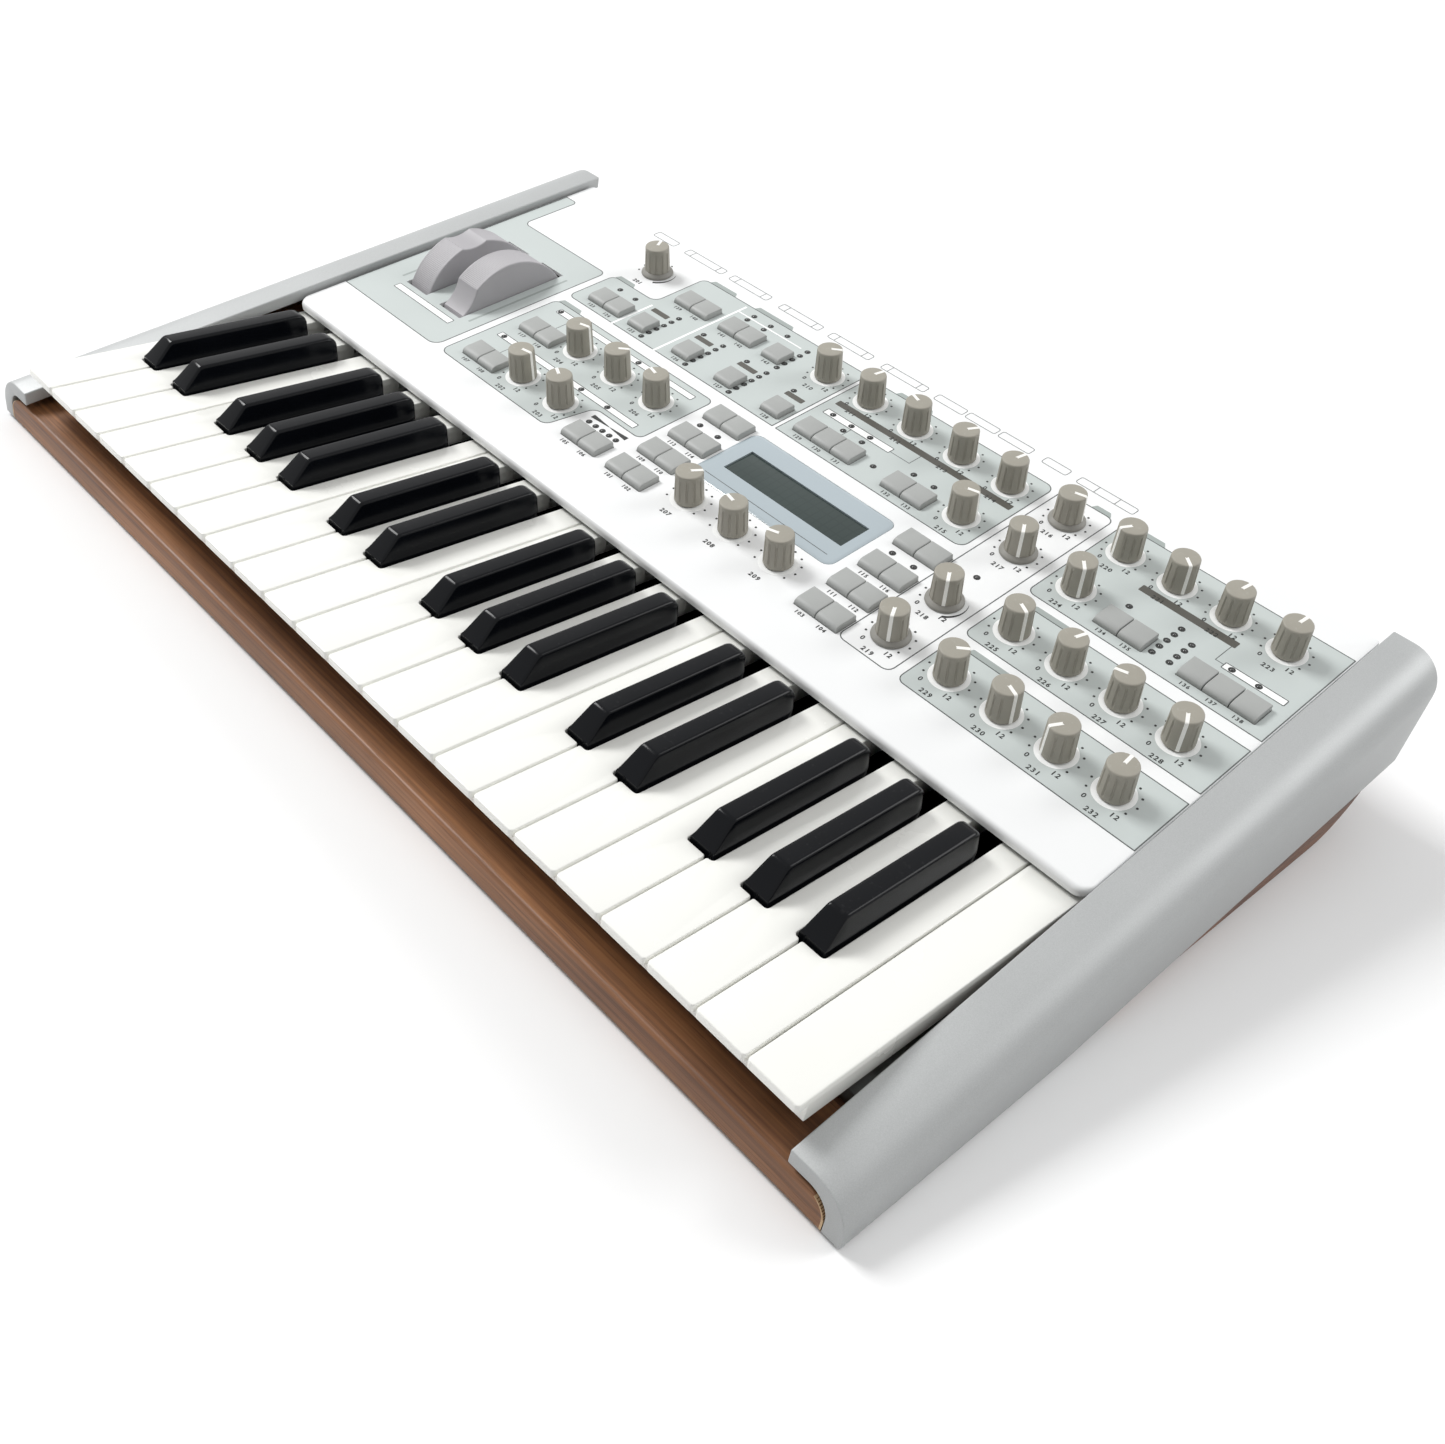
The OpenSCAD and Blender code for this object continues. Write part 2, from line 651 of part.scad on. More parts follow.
// A square socket: a flange outside and a walled box through the plate
module box_socket(hole) difference() {
  union() {
    translate([0, 0, seat])
      block(hole[0] + 2 * (socket_wall + flange_w), hole[1] + 2 * (socket_wall + flange_w), flange_t);
    translate([0, 0, -hole[2] - socket_wall])
      block(hole[0] + 2 * socket_wall, hole[1] + 2 * socket_wall, hole[2] + socket_wall + flange_t);
  }
  translate([0, 0, -hole[2]]) block(hole[0], hole[1], hole[2] + 2 * flange_t);
}

module rear_sockets() color(near_black) {
  for (x = jack_xs) on_back(x, socket_z) round_socket(jack_nut_r, jack_r, jack_body[2], jack_body);
  din_body = [2 * din_rim_r, 2 * din_rim_r, din_depth + din_back];
  for (x = din_xs) on_back(x, socket_z) round_socket(din_rim_r, din_r, din_depth + socket_proud, din_body);
  for (x = coax_xs) on_back(x, socket_z) difference() {
    union() {
      translate([0, 0, -rear_t - rim_lap]) cylinder(h = rear_t + rim_lap + coax_proud, r = coax_r);
      translate([0, 0, -rear_t - seat - coax_proud])
        block(2 * (coax_r + coax_wall), 2 * (coax_r + coax_wall), coax_proud);
    }
    cylinder(h = far, r = coax_bore_r);
  }
  on_back(usb_x, socket_z) box_socket(usb_hole);
  on_back(inlet_x, socket_z) {
    box_socket(inlet_hole);
    for (p = inlet_pins) translate([p[0], p[1], -inlet_hole[2] - pin_root])
      block(inlet_pin[0], inlet_pin[1], inlet_pin[2] + pin_root);
  }
  on_back(switch_x, socket_z) difference() {
    box_socket(rocker_hole);
    translate([0, 0, -rocker_depth]) bar(rocker_pin_r + run, rocker_pin_len + rocker_pin_play);
  }
}

module power_switch() color(near_black) on_back(switch_x, socket_z) translate([0, 0, -rocker_depth])
  rotate([rocker_rest, 0, 0]) {
    rotate([90, 0, 90]) linear_extrude(rocker[0], center = true) polygon([
      [-rocker[1] / 2, -rocker[2]], [rocker[1] / 2, -rocker[2]], [rocker[1] / 2, rocker_edge],
      [0, rocker_peak], [-rocker[1] / 2, rocker_edge]
    ]);
    bar(rocker_pin_r, rocker_pin_len);
  }

// Amount by which a black key cuts into the left or the right side of a white key
function cut_left(i) =
  let(shift = i == 0 ? undef : black_shift[(i + octave - 1) % octave])
  is_undef(shift) ? 0 : notch_half + shift;
function cut_right(i) =
  let(shift = i == white_count - 1 ? undef : black_shift[i % octave])
  is_undef(shift) ? 0 : notch_half - shift;
function waist_left(i) = keyboard_x + i * key_pitch + max(key_gap / 2, cut_left(i));
function waist_right(i) = keyboard_x + (i + 1) * key_pitch - max(key_gap / 2, cut_right(i));
function white_mid(i) = (waist_left(i) + waist_right(i)) / 2;
function black_mid(i) = keyboard_x + (i + 1) * key_pitch + black_shift[i % octave];

// The arm of a key, with the bored boss that turns on the pivot rod
module key_tail(x) translate([x, pivot_y, pivot_z]) difference() {
  union() {
    translate([-tail_w / 2, plate_len - tail_lap - key_pivot_len, -tail_below])
      cube([tail_w, key_pivot_len - plate_len + tail_lap, tail_h]);
    bar(boss_r, tail_w);
  }
  bar(pivot_r + run, 2 * tail_w);
}

module white_key(i) {
  left = keyboard_x + i * key_pitch;
  rib_x = waist_left(i) + rib_inset;
  rib_w = waist_right(i) - waist_left(i) - 2 * rib_inset;
  translate([0, 0, key_top_h - key_plate_t]) linear_extrude(key_plate_t) difference() {
    translate([left + key_gap / 2, key_y]) front_rounded(key_pitch - key_gap, plate_len, key_corner_r);
    translate([left - cut, key_y + black_start - notch_lead])
      square([max(key_gap / 2, cut_left(i)) + cut, plate_len]);
    translate([waist_right(i), key_y + black_start - notch_lead]) square([key_pitch, plate_len]);
  }
  translate([rib_x, key_y + key_lip, key_under]) difference() {
    cube([rib_w, plate_len - key_lip, key_h - key_plate_t / 2]);
    translate([key_wall, key_wall, -cut])
      cube([rib_w - 2 * key_wall, plate_len - key_lip - 2 * key_wall, key_h - key_plate_t + cut]);
  }
  key_tail(white_mid(i));
}

module black_key(i) {
  low = key_top_h - black_body_h - black_h / 2;
  lip = key_top_h + black_lip;
  top = key_top_h + black_h;
  end = black_start + black_len;
  intersection() {
    translate([black_mid(i), key_y, 0]) across(2 * black_w) polygon([
      [black_start, low], [black_start, lip], [black_start + black_slope, top], [end, top], [end, low]
    ]);
    translate([black_mid(i), key_y, 0]) backwards(key_show) polygon([
      [-black_w / 2, low], [-black_w / 2, lip], [-black_top_w / 2, top],
      [black_top_w / 2, top], [black_w / 2, lip], [black_w / 2, low]
    ]);
  }
  translate([black_mid(i) - tail_w / 2, key_y + end - tail_lap, pivot_z - tail_below])
    cube([tail_w, plate_len - end + tail_lap, tail_h]);
  key_tail(black_mid(i));
}

// The white keys of one octave, and the top key with the last
module white_keys(o) color(ivory) {
  for (i = [o * octave : o * octave + octave - 1]) white_key(i);
  if (o == octaves - 1) white_key(white_count - 1);
}

module black_keys(o) color(ebony) {
  for (i = [o * octave : o * octave + octave - 1])
    if (!is_undef(black_shift[i % octave])) black_key(i);
}

module keybed_frame() color(dark_metal) difference() {
  union() {
    translate([-keyboard_w / 2 - support_w, key_y + frame_front, base_top + seat])
      cube([keyboard_w + 2 * support_w, key_pivot_len - frame_front + frame_behind, frame_t]);
    translate([-keyboard_w / 2, key_y + frame_front, frame_top - frame_t / 2])
      cube([keyboard_w, felt_d, felt_top - frame_top + frame_t / 2]);
    for (y = [contact_from + contact_inset, contact_to - contact_inset - support_w])
      translate([-keyboard_w / 2, key_y + y, frame_top - frame_t / 2])
      cube([keyboard_w, support_w, contact_top - contact_t - seat - frame_top + frame_t / 2]);
    for (x = concat(
      [-keyboard_w / 2 - support_w / 2, keyboard_w / 2 + support_w / 2],
      [for (i = [0 : white_count - 2])
        if (is_undef(black_shift[i % octave])) keyboard_x + (i + 1) * key_pitch]
    )) translate([x - support_w / 2, pivot_y - support_d / 2, frame_top - frame_t / 2])
      cube([support_w, support_d, pivot_z + boss_r - frame_top + frame_t / 2]);
    translate([0, pivot_y, pivot_z]) bar(pivot_r, keyboard_w + 2 * support_w);
  }
  for (x = base_screw_xs, y = base_screw_ys) translate([x, y, 0])
    cylinder(h = frame_top + cut, r = screw_r + run);
}

module key_contact_board() color(board_green) {
  translate([-keyboard_w / 2, key_y + contact_from, contact_top - contact_t])
    cube([keyboard_w, contact_to - contact_from, contact_t]);
  mids = concat(
    [for (i = [0 : white_count - 1]) white_mid(i)],
    [for (i = [0 : white_count - 2]) if (!is_undef(black_shift[i % octave])) black_mid(i)]
  );
  for (x = mids) translate([x, key_y + dome_at, contact_top - contact_t / 2])
    cylinder(h = dome_h + contact_t / 2, r = dome_r);
}

module control_board() color(board_green) on_panel() {
  right = panel_w / 2 - board_inset;
  translate([board_left, board_front, -board_drop - board_t])
    cube([right - board_left, board_back - board_front, board_t]);
  for (u = post_us, v = post_vs)
    translate([u, v, -board_drop - board_t / 2])
      cylinder(h = board_drop + board_t / 2 - panel_t - seat, r = post_r);
  for (p = CAPS) translate([p[0], p[1], -board_drop - board_t / 2])
    block(switch_w, switch_w, switch_h + board_t / 2);
}

module main_board() color(board_green) {
  top = main_board_z + board_t + seat;
  translate([main_board_x, main_board_y, main_board_z]) cube([main_board_w, main_board_d, board_t]);
  for (x = [post_inset, main_board_w - post_inset], y = [post_inset, main_board_d - post_inset])
    translate([main_board_x + x, main_board_y + y, base_top + seat])
      cylinder(h = main_board_rise, r = post_r);
  for (c = CHIPS) translate([main_board_x + c[0], main_board_y + c[1], top]) cube([c[2], c[2], chip_h]);
  translate([main_board_x + supply_at[0], main_board_y + supply_at[1], top]) cube(supply);
}

module knob_potentiometers() color(silver) on_panel() for (k = KNOBS) translate(k[1]) difference() {
  union() {
    translate([0, 0, seat - board_drop]) block(pot_w, pot_w, pot_h);
    translate([0, 0, -pot_depth]) cylinder(h = pot_depth + bushing_proud, r = bushing_r);
  }
  translate([0, 0, -pot_depth]) cylinder(h = far, r = shaft_d / 2 + run);
}

module status_leds() color(near_black) on_panel() for (p = LEDS)
  translate([p[0], p[1], seat - board_drop]) cylinder(h = board_drop - seat + led_proud, r = led_d / 2);

module display_window() color(window_tint) on_panel()
  translate([window_u, window_v, -panel_t]) linear_extrude(panel_t + window_proud)
    round_rect(window_w, window_d, window_r);

module display_module() color(near_black) on_panel()
  translate([window_u, window_v, seat - board_drop])
    block(window_w - 2 * module_margin, window_d - 2 * module_margin, board_drop - panel_t - 2 * seat);

module panel_buttons() color(cap_grey) on_panel() for (p = CAPS) translate(p) {
  foot = panel_t + seat + cap_flange_t;
  translate([0, 0, -foot]) block(cap_w, cap_d, foot + cap_h);
  translate([0, 0, -foot]) block(cap_w, cap_d + 2 * (slip + cap_flange), cap_flange_t);
  translate([0, 0, -foot - cap_stem_h])
    block(cap_stem_w, cap_stem_w, cap_stem_h + cap_flange_t / 2);
}

// Side view of a wheel: an arc of rim about the hub, with the finger dent at its top
module wheel_side(front_deg, rear_deg) {
  chord_h = sqrt(wheel_r * wheel_r - dent_len * dent_len / 4);
  sag = chord_h - (wheel_r - dent_depth);
  dent_r = (dent_len * dent_len / 4 + sag * sag) / (2 * sag);
  steps = 24;
  difference() {
    union() {
      intersection() {
        circle(wheel_r);
        polygon(concat([[0, 0]], [
          for (i = [0 : steps]) let(a = -front_deg + (front_deg + rear_deg) * i / steps)
            2 * wheel_r * [sin(a), cos(a)]
        ]));
      }
      circle(hub_r);
    }
    translate([0, wheel_r - dent_depth + dent_r]) circle(dent_r);
    circle(axle_d / 2 + run);
  }
}

module wheel(u, turn, front_deg, rear_deg) color(wheel_grey) on_panel()
  translate([u, wheel_v, -axle_depth]) rotate([turn, 0, 0]) across(wheel_w) wheel_side(front_deg, rear_deg);

module pitch_wheel() {
  wheel(pitch_u, 0, min(slot_deg + pitch_travel, rim_front - pitch_travel), slot_deg + pitch_travel);
}

module mod_wheel() {
  wheel(mod_u, mod_rest, min(slot_deg + mod_travel, rim_front) - mod_rest, slot_deg + mod_rest);
}

module wheel_bracket() color(dark_metal) on_panel() {
  for (u = bracket_us) translate([u, wheel_v, -axle_depth - bracket_below])
    block(bracket_t, bracket_d, axle_depth + bracket_below - panel_t - seat);
  translate([(bracket_us[0] + bracket_us[2]) / 2, wheel_v, -axle_depth])
    bar(axle_d / 2, bracket_us[2] - bracket_us[0]);
}

// A knob and its shaft, with a pointer bar from the middle of its top to the rim
module knob(k) color(knob_grey) on_panel() translate(k[1]) rotate([0, 0, -k[2]]) {
  top_r = knob_top_d / 2;
  rotate_extrude() polygon([
    [0, knob_h], [top_r - knob_edge, knob_h], [top_r, knob_h - knob_edge], [knob_d / 2, knob_lift],
    [knob_recess_r, knob_lift], [knob_recess_r, knob_lift + knob_recess_h],
    [shaft_d / 2, knob_lift + knob_recess_h], [shaft_d / 2, stop_gap - pot_depth], [0, stop_gap - pot_depth]
  ]);
  translate([-pointer_w / 2, top_r / 4, knob_h - pointer_t])
    cube([pointer_w, top_r - knob_edge - top_r / 4, 2 * pointer_t]);
}

module rubber_feet() color(near_black) for (x = foot_xs, y = foot_ys)
  translate([x, y, 0]) cylinder(h = foot_h + foot_recess - seat, r = foot_r);

module screw(length) {
  cylinder(h = screw_head_h, r = screw_head_r);
  translate([0, 0, -length]) cylinder(h = length + screw_head_h / 2, r = screw_r);
}

module case_screws() color(silver) {
  for (x = rear_screw_xs) on_back(x, rear_screw_z) translate([0, 0, seat]) screw(rear_t + base_t);
  for (x = base_screw_xs, y = base_screw_ys)
    translate([x, y, foot_h + base_screw_sink - seat]) rotate([180, 0, 0])
      screw(frame_top - foot_h - base_screw_sink);
}

wood_base();
wood_front_rail();
left_cheek();
right_cheek();
top_panel();
rear_panel();
keybed_frame();
key_contact_board();
control_board();
main_board();
knob_potentiometers();
status_leds();
display_window();
display_module();
rear_sockets();
power_switch();
wheel_bracket();
rubber_feet();
case_screws();
white_keys(0);  // white_keys_low
white_keys(1);  // white_keys_middle
white_keys(2);  // white_keys_high
black_keys(0);  // black_keys_low
black_keys(1);  // black_keys_middle
black_keys(2);  // black_keys_high
pitch_wheel();
mod_wheel();
panel_buttons();
for (k = KNOBS) knob(k);
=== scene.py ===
"""Looks of a 37-key desktop synthesizer: surfaces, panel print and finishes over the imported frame."""

import json
import logging
import math
from collections.abc import Callable, Sequence
from dataclasses import dataclass, field
from enum import Enum
from functools import cache

import bmesh
import bpy
import numpy as np
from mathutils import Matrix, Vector
from mathutils.geometry import delaunay_2d_cdt


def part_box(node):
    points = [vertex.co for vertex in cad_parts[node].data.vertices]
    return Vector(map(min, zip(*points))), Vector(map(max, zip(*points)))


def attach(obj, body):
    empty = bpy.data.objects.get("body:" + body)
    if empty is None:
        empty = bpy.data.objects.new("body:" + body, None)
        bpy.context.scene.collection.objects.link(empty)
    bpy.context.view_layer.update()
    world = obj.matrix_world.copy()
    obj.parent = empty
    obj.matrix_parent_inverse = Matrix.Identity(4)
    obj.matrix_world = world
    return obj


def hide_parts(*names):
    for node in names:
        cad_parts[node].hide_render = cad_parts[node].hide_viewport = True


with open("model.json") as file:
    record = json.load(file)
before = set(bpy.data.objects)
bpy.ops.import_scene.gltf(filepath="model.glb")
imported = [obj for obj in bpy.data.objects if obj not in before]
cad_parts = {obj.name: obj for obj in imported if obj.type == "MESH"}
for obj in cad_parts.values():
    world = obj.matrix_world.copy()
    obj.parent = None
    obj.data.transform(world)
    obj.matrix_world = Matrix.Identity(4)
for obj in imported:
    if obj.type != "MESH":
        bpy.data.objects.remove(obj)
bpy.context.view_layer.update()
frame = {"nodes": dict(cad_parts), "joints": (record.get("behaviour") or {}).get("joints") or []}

LOG = logging.getLogger("synthesizer")
MM = 0.001
SEAM = 1e-6
CELL = 1e-5
TINY = 1e-9
CASE = "case"

Array = np.ndarray
Pair = tuple[float, float]
Socket = bpy.types.NodeSocket
Tone = tuple[int, int, int]
Tree = bpy.types.NodeTree
Place = Callable[[Array], Array]


# Finishes

NOISE_SPAN = (0.3, 0.7)
NOISE_PEAKS = (0.60, 0.72)
FACES_UP = (0.8, 0.95)
WOOD_SPAN = (0.34, 0.66)
FIGURE_PER_M = (5.0, 95.0, 95.0)
STREAKS_PER_M = (9.0, 650.0, 650.0)
FIBRES_PER_M = (40.0, 2600.0, 2600.0)
FIGURE_SHARE = 0.55
STREAK_RELIEF = 0.3
PORE_ROUGH = 0.2


def light(tone: Tone) -> tuple[float, float, float, float]:
    """Turns a screen colour from 0 to 255 into scene light, by the usual screen curve.

    Args:
        tone: Red, green and blue as a screen shows them.

    Returns:
        The linear colour with a full alpha.
    """
    share = np.array(tone) / 255
    curve = np.where(share <= 0.04045, share / 12.92, ((share + 0.055) / 1.055) ** 2.4)
    return (*curve.tolist(), 1.0)


class Graph:
    """Adds and joins the nodes of one shader tree."""

    def __init__(self, tree: Tree) -> None:
        """Keeps the tree that the nodes go into."""
        self.tree = tree

    def node(self, kind: str, values: dict | None = None, **settings: object) -> bpy.types.Node:
        """Adds one node.

        Args:
            kind: The node's type without its ShaderNode prefix.
            values: What goes into each input, by name or number: a value, or a socket to join.
            settings: The node's own options.

        Returns:
            The new node.
        """
        made = self.tree.nodes.new("ShaderNode" + kind)
        for name, value in settings.items():
            setattr(made, name, value)
        for key, value in (values or {}).items():
            if isinstance(value, Socket):
                self.tree.links.new(value, made.inputs[key])
            else:
                made.inputs[key].default_value = value
        return made

    def math(self, operation: str, first: object, second: object = 0.0) -> Socket:
        """Joins two numbers by a sum, a product or another operation."""
        return self.node("Math", {0: first, 1: second}, operation=operation).outputs[0]

    def mix(self, share: object, first: object, second: object) -> Socket:
        """Mixes two colours by a share from 0 to 1."""
        return self.node("Mix", {0: share, 6: first, 7: second}, data_type="RGBA").outputs[2]

    def spread(self, value: object, span: Sequence[float], low: object, high: object) -> Socket:
        """Maps a number from a span onto another, low to high, and stops at its ends."""
        return self.node("MapRange", {0: value, 1: span[0], 2: span[1], 3: low, 4: high}).outputs[0]

    def place(self) -> Socket:
        """Gives the point in the object's own coordinates."""
        return self.node("TexCoord").outputs["Object"]

    def noise(self, point: object, scale: object, detail: float = 3.0) -> Socket:
        """Gives soft noise from 0 to 1 at a scale in lumps a metre."""
        return self.node("TexNoise", {"Vector": point, "Scale": scale, "Detail": detail}).outputs[0]

    def lumps(self, point: object, size: object, detail: float = 3.0) -> Socket:
        """Gives soft noise from 0 to 1 in lumps of a size in metres."""
        return self.noise(point, self.math("DIVIDE", 1.0, size), detail)

    def stretched(self, point: object, scale: Sequence[float]) -> Socket:
        """Gives the point with each axis scaled by itself."""
        return self.node("Mapping", {"Vector": point, "Scale": scale}).outputs[0]

    def group(self, tree: Tree, values: dict) -> bpy.types.Node:
        """Places a node group with its own values."""
        return self.node("Group", values, node_tree=tree)


def new_group(name: str, inputs: dict[str, object], outputs: dict[str, str]) -> tuple:
    """Starts a shader node group.

    Args:
        name: The group's name.
        inputs: Default of each input by name: a number, or a colour of four numbers.
        outputs: Kind of each output by name: Float or Color.

    Returns:
        The tree, its graph, its input sockets and its output node.
    """
    tree = bpy.data.node_groups.new(name, "ShaderNodeTree")
    for label, value in inputs.items():
        kind = "NodeSocketColor" if isinstance(value, tuple) else "NodeSocketFloat"
        tree.interface.new_socket(label, in_out="INPUT", socket_type=kind).default_value = value
    for label, kind in outputs.items():
        tree.interface.new_socket(label, in_out="OUTPUT", socket_type="NodeSocket" + kind)
    graph = Graph(tree)
    ends = tree.nodes.new("NodeGroupInput"), tree.nodes.new("NodeGroupOutput")
    return tree, graph, ends[0].outputs, ends[1].inputs


@cache
def mottle_group() -> Tree:
    """Makes a tone that wanders: a colour scaled by 1 plus or minus an amount, in patches of a size.

    Returns:
        The group.
    """
    inputs = {"Color": (0.5, 0.5, 0.5, 1.0), "Amount": 0.05, "Size": 0.04}
    tree, graph, given, out = new_group("wandering_tone", inputs, {"Color": "Color"})
    lumps = graph.lumps(graph.place(), given["Size"])
    low = graph.math("SUBTRACT", 1.0, given["Amount"])
    high = graph.math("ADD", 1.0, given["Amount"])
    scale = graph.spread(lumps, NOISE_SPAN, low, high)
    scaled = graph.node("VectorMath", {0: given["Color"], "Scale": scale}, operation="SCALE")
    tree.links.new(scaled.outputs[0], out["Color"])
    return tree


@cache
def grit_group() -> Tree:
    """Makes fine surface grain: a height of one grain size, and a gloss that wanders in patches.

    Returns:
        The group.
    """
    inputs = {"Grain": 0.0004, "Patch": 0.03, "Roughness": 0.5, "Spread": 0.08}
    tree, graph, given, out = new_group("fine_grain", inputs, {"Height": "Float", "Roughness": "Float"})
    place = graph.place()
    grain = graph.lumps(place, given["Grain"], 2.0)
    patch = graph.lumps(place, given["Patch"], 4.0)
    half = graph.math("MULTIPLY", given["Spread"], 0.5)
    low = graph.math("SUBTRACT", given["Roughness"], half)
    high = graph.math("ADD", given["Roughness"], half)
    tree.links.new(grain, out["Height"])
    tree.links.new(graph.spread(patch, NOISE_SPAN, low, high), out["Roughness"])
    return tree


@cache
def dust_group() -> Tree:
    """Makes dust on faces that look up: a pale speck where the noise is high and the normal points up.

    Returns:
        The group.
    """
    inputs = {"Color": (0.5, 0.5, 0.5, 1.0), "Dust": (0.6, 0.6, 0.58, 1.0), "Amount": 0.2, "Size": 0.002}
    tree, graph, given, out = new_group("settled_dust", inputs, {"Color": "Color"})
    specks = graph.lumps(graph.place(), given["Size"], 4.0)
    normal = graph.node("NewGeometry").outputs["Normal"]
    upward = graph.node("SeparateXYZ", {0: normal}).outputs[2]
    share = graph.math("MULTIPLY", graph.spread(specks, NOISE_PEAKS, 0.0, given["Amount"]),
                       graph.spread(upward, FACES_UP, 0.0, 1.0))
    tree.links.new(graph.mix(share, given["Color"], given["Dust"]), out["Color"])
    return tree


@cache
def grain_group(layers: float) -> Tree:
    """Makes wood that runs along X: broad figure, fine streaks and short dark pores, drawn out lengthwise.

    Args:
        layers: Scale of the pattern along Y; under 1, the ends of the board show long layers.

    Returns:
        The group.
    """
    inputs = {"Dark": (0.05, 0.03, 0.02, 1.0), "Light": (0.2, 0.12, 0.07, 1.0), "Pores": 0.6, "Gloss": 0.45}
    outputs = {"Color": "Color", "Height": "Float", "Roughness": "Float"}
    tree, graph, given, out = new_group(f"walnut_grain_{layers:g}", inputs, outputs)
    place = graph.stretched(graph.place(), (1.0, layers, 1.0))
    figure = graph.noise(graph.stretched(place, FIGURE_PER_M), 1.0, 3.0)
    streak = graph.noise(graph.stretched(place, STREAKS_PER_M), 1.0, 4.0)
    fibre = graph.noise(graph.stretched(place, FIBRES_PER_M), 1.0, 2.0)
    tone = graph.math("ADD", graph.math("MULTIPLY", figure, FIGURE_SHARE),
                      graph.math("MULTIPLY", streak, 1 - FIGURE_SHARE))
    share = graph.spread(tone, WOOD_SPAN, 0.0, 1.0)
    pore = graph.math("MULTIPLY", graph.spread(fibre, NOISE_PEAKS, 0.0, 1.0), given["Pores"])
    body = graph.mix(share, given["Dark"], given["Light"])
    relief = graph.math("SUBTRACT", graph.math("MULTIPLY", streak, STREAK_RELIEF), pore)
    gloss = graph.math("ADD", given["Gloss"], graph.math("MULTIPLY", pore, PORE_ROUGH))
    tree.links.new(graph.mix(pore, body, given["Dark"]), out["Color"])
    tree.links.new(relief, out["Height"])
    tree.links.new(gloss, out["Roughness"])
    return tree


@dataclass(frozen=True)
class Finish:
    """An even finish with a wandering tone, a fine grain and a gloss that changes in patches.

    Sizes are in millimetres. Fleck is a second, grain-sized change of tone, as in metal paint.
    """

    name: str
    tone: Tone
    rough: float = 0.5
    spread: float = 0.08
    mottle: float = 0.03
    patch: float = 45.0
    grain: float = 0.45
    relief: float = 0.012
    fleck: float = 0.0
    dust: float = 0.0
    metal: float = 0.0
    coat: float = 0.0
    coat_rough: float = 0.05
    sheen_ior: float = 1.5

    def material(self) -> bpy.types.Material:
        """Gives the finish's material, made the first time."""
        return bpy.data.materials.get(self.name) or self.make()

    def colour(self, graph: Graph) -> Socket:
        """Gives the colour over the surface: the tone in patches, flecked and dusted.

        Args:
            graph: The material's nodes.

        Returns:
            The colour socket.
        """
        colour = self.mottled(graph, light(self.tone), self.mottle, self.patch)
        if self.fleck:
            colour = self.mottled(graph, colour, self.fleck, self.grain)
        if self.dust:
            values = {"Color": colour, "Amount": self.dust}
            colour = graph.group(dust_group(), values).outputs["Color"]
        return colour

    @staticmethod
    def mottled(graph: Graph, colour: object, amount: float, size: float) -> Socket:
        """Gives a colour that wanders by an amount, in patches of a size."""
        values = {"Color": colour, "Amount": amount, "Size": size * MM}
        return graph.group(mottle_group(), values).outputs["Color"]

    def skin(self, graph: Graph) -> tuple[Socket, Socket]:
        """Gives the gloss and relief of the surface's own grain.

        Args:
            graph: The material's nodes.

        Returns:
            The roughness socket and the height socket.
        """
        values = {"Grain": self.grain * MM, "Patch": self.patch * MM,
                  "Roughness": self.rough, "Spread": self.spread}
        made = graph.group(grit_group(), values)
        return made.outputs["Roughness"], made.outputs["Height"]

    def make(self) -> bpy.types.Material:
        """Builds the material: colour, gloss and bump from nodes, even values on the shader itself.

        Returns:
            The material.
        """
        made = bpy.data.materials.new(self.name)
        made.use_nodes = True
        graph = Graph(made.node_tree)
        shader = made.node_tree.nodes["Principled BSDF"]
        even = {"Metallic": self.metal, "Coat Weight": self.coat, "Coat Roughness": self.coat_rough,
                "IOR": self.sheen_ior}
        for name, value in even.items():
            shader.inputs[name].default_value = value
        rough, height = self.skin(graph)
        bump = graph.node("Bump", {"Height": height, "Distance": self.relief * MM})
        made.node_tree.links.new(self.colour(graph), shader.inputs["Base Color"])
        made.node_tree.links.new(rough, shader.inputs["Roughness"])
        made.node_tree.links.new(bump.outputs["Normal"], shader.inputs["Normal"])
        return made


@dataclass(frozen=True)
class Timber(Finish):
    """Oiled wood with its grain along the case."""

    dark: Tone = (58, 35, 22)
    pores: float = 0.6
    layers: float = 1.0

    def figure(self, graph: Graph) -> bpy.types.Node:
        """Places the wood grain group with this timber's tones."""
        values = {"Dark": light(self.dark), "Light": light(self.tone),
                  "Pores": self.pores, "Gloss": self.rough}
        return graph.group(grain_group(self.layers), values)

    def colour(self, graph: Graph) -> Socket:
        """Gives the figured colour, with slow changes along the board."""
        return self.mottled(graph, self.figure(graph).outputs["Color"], self.mottle, self.patch)

    def skin(self, graph: Graph) -> tuple[Socket, Socket]:
        """Gives the gloss of oiled wood and the height of its open pores."""
        made = self.figure(graph)
        return made.outputs["Roughness"], made.outputs["Height"]


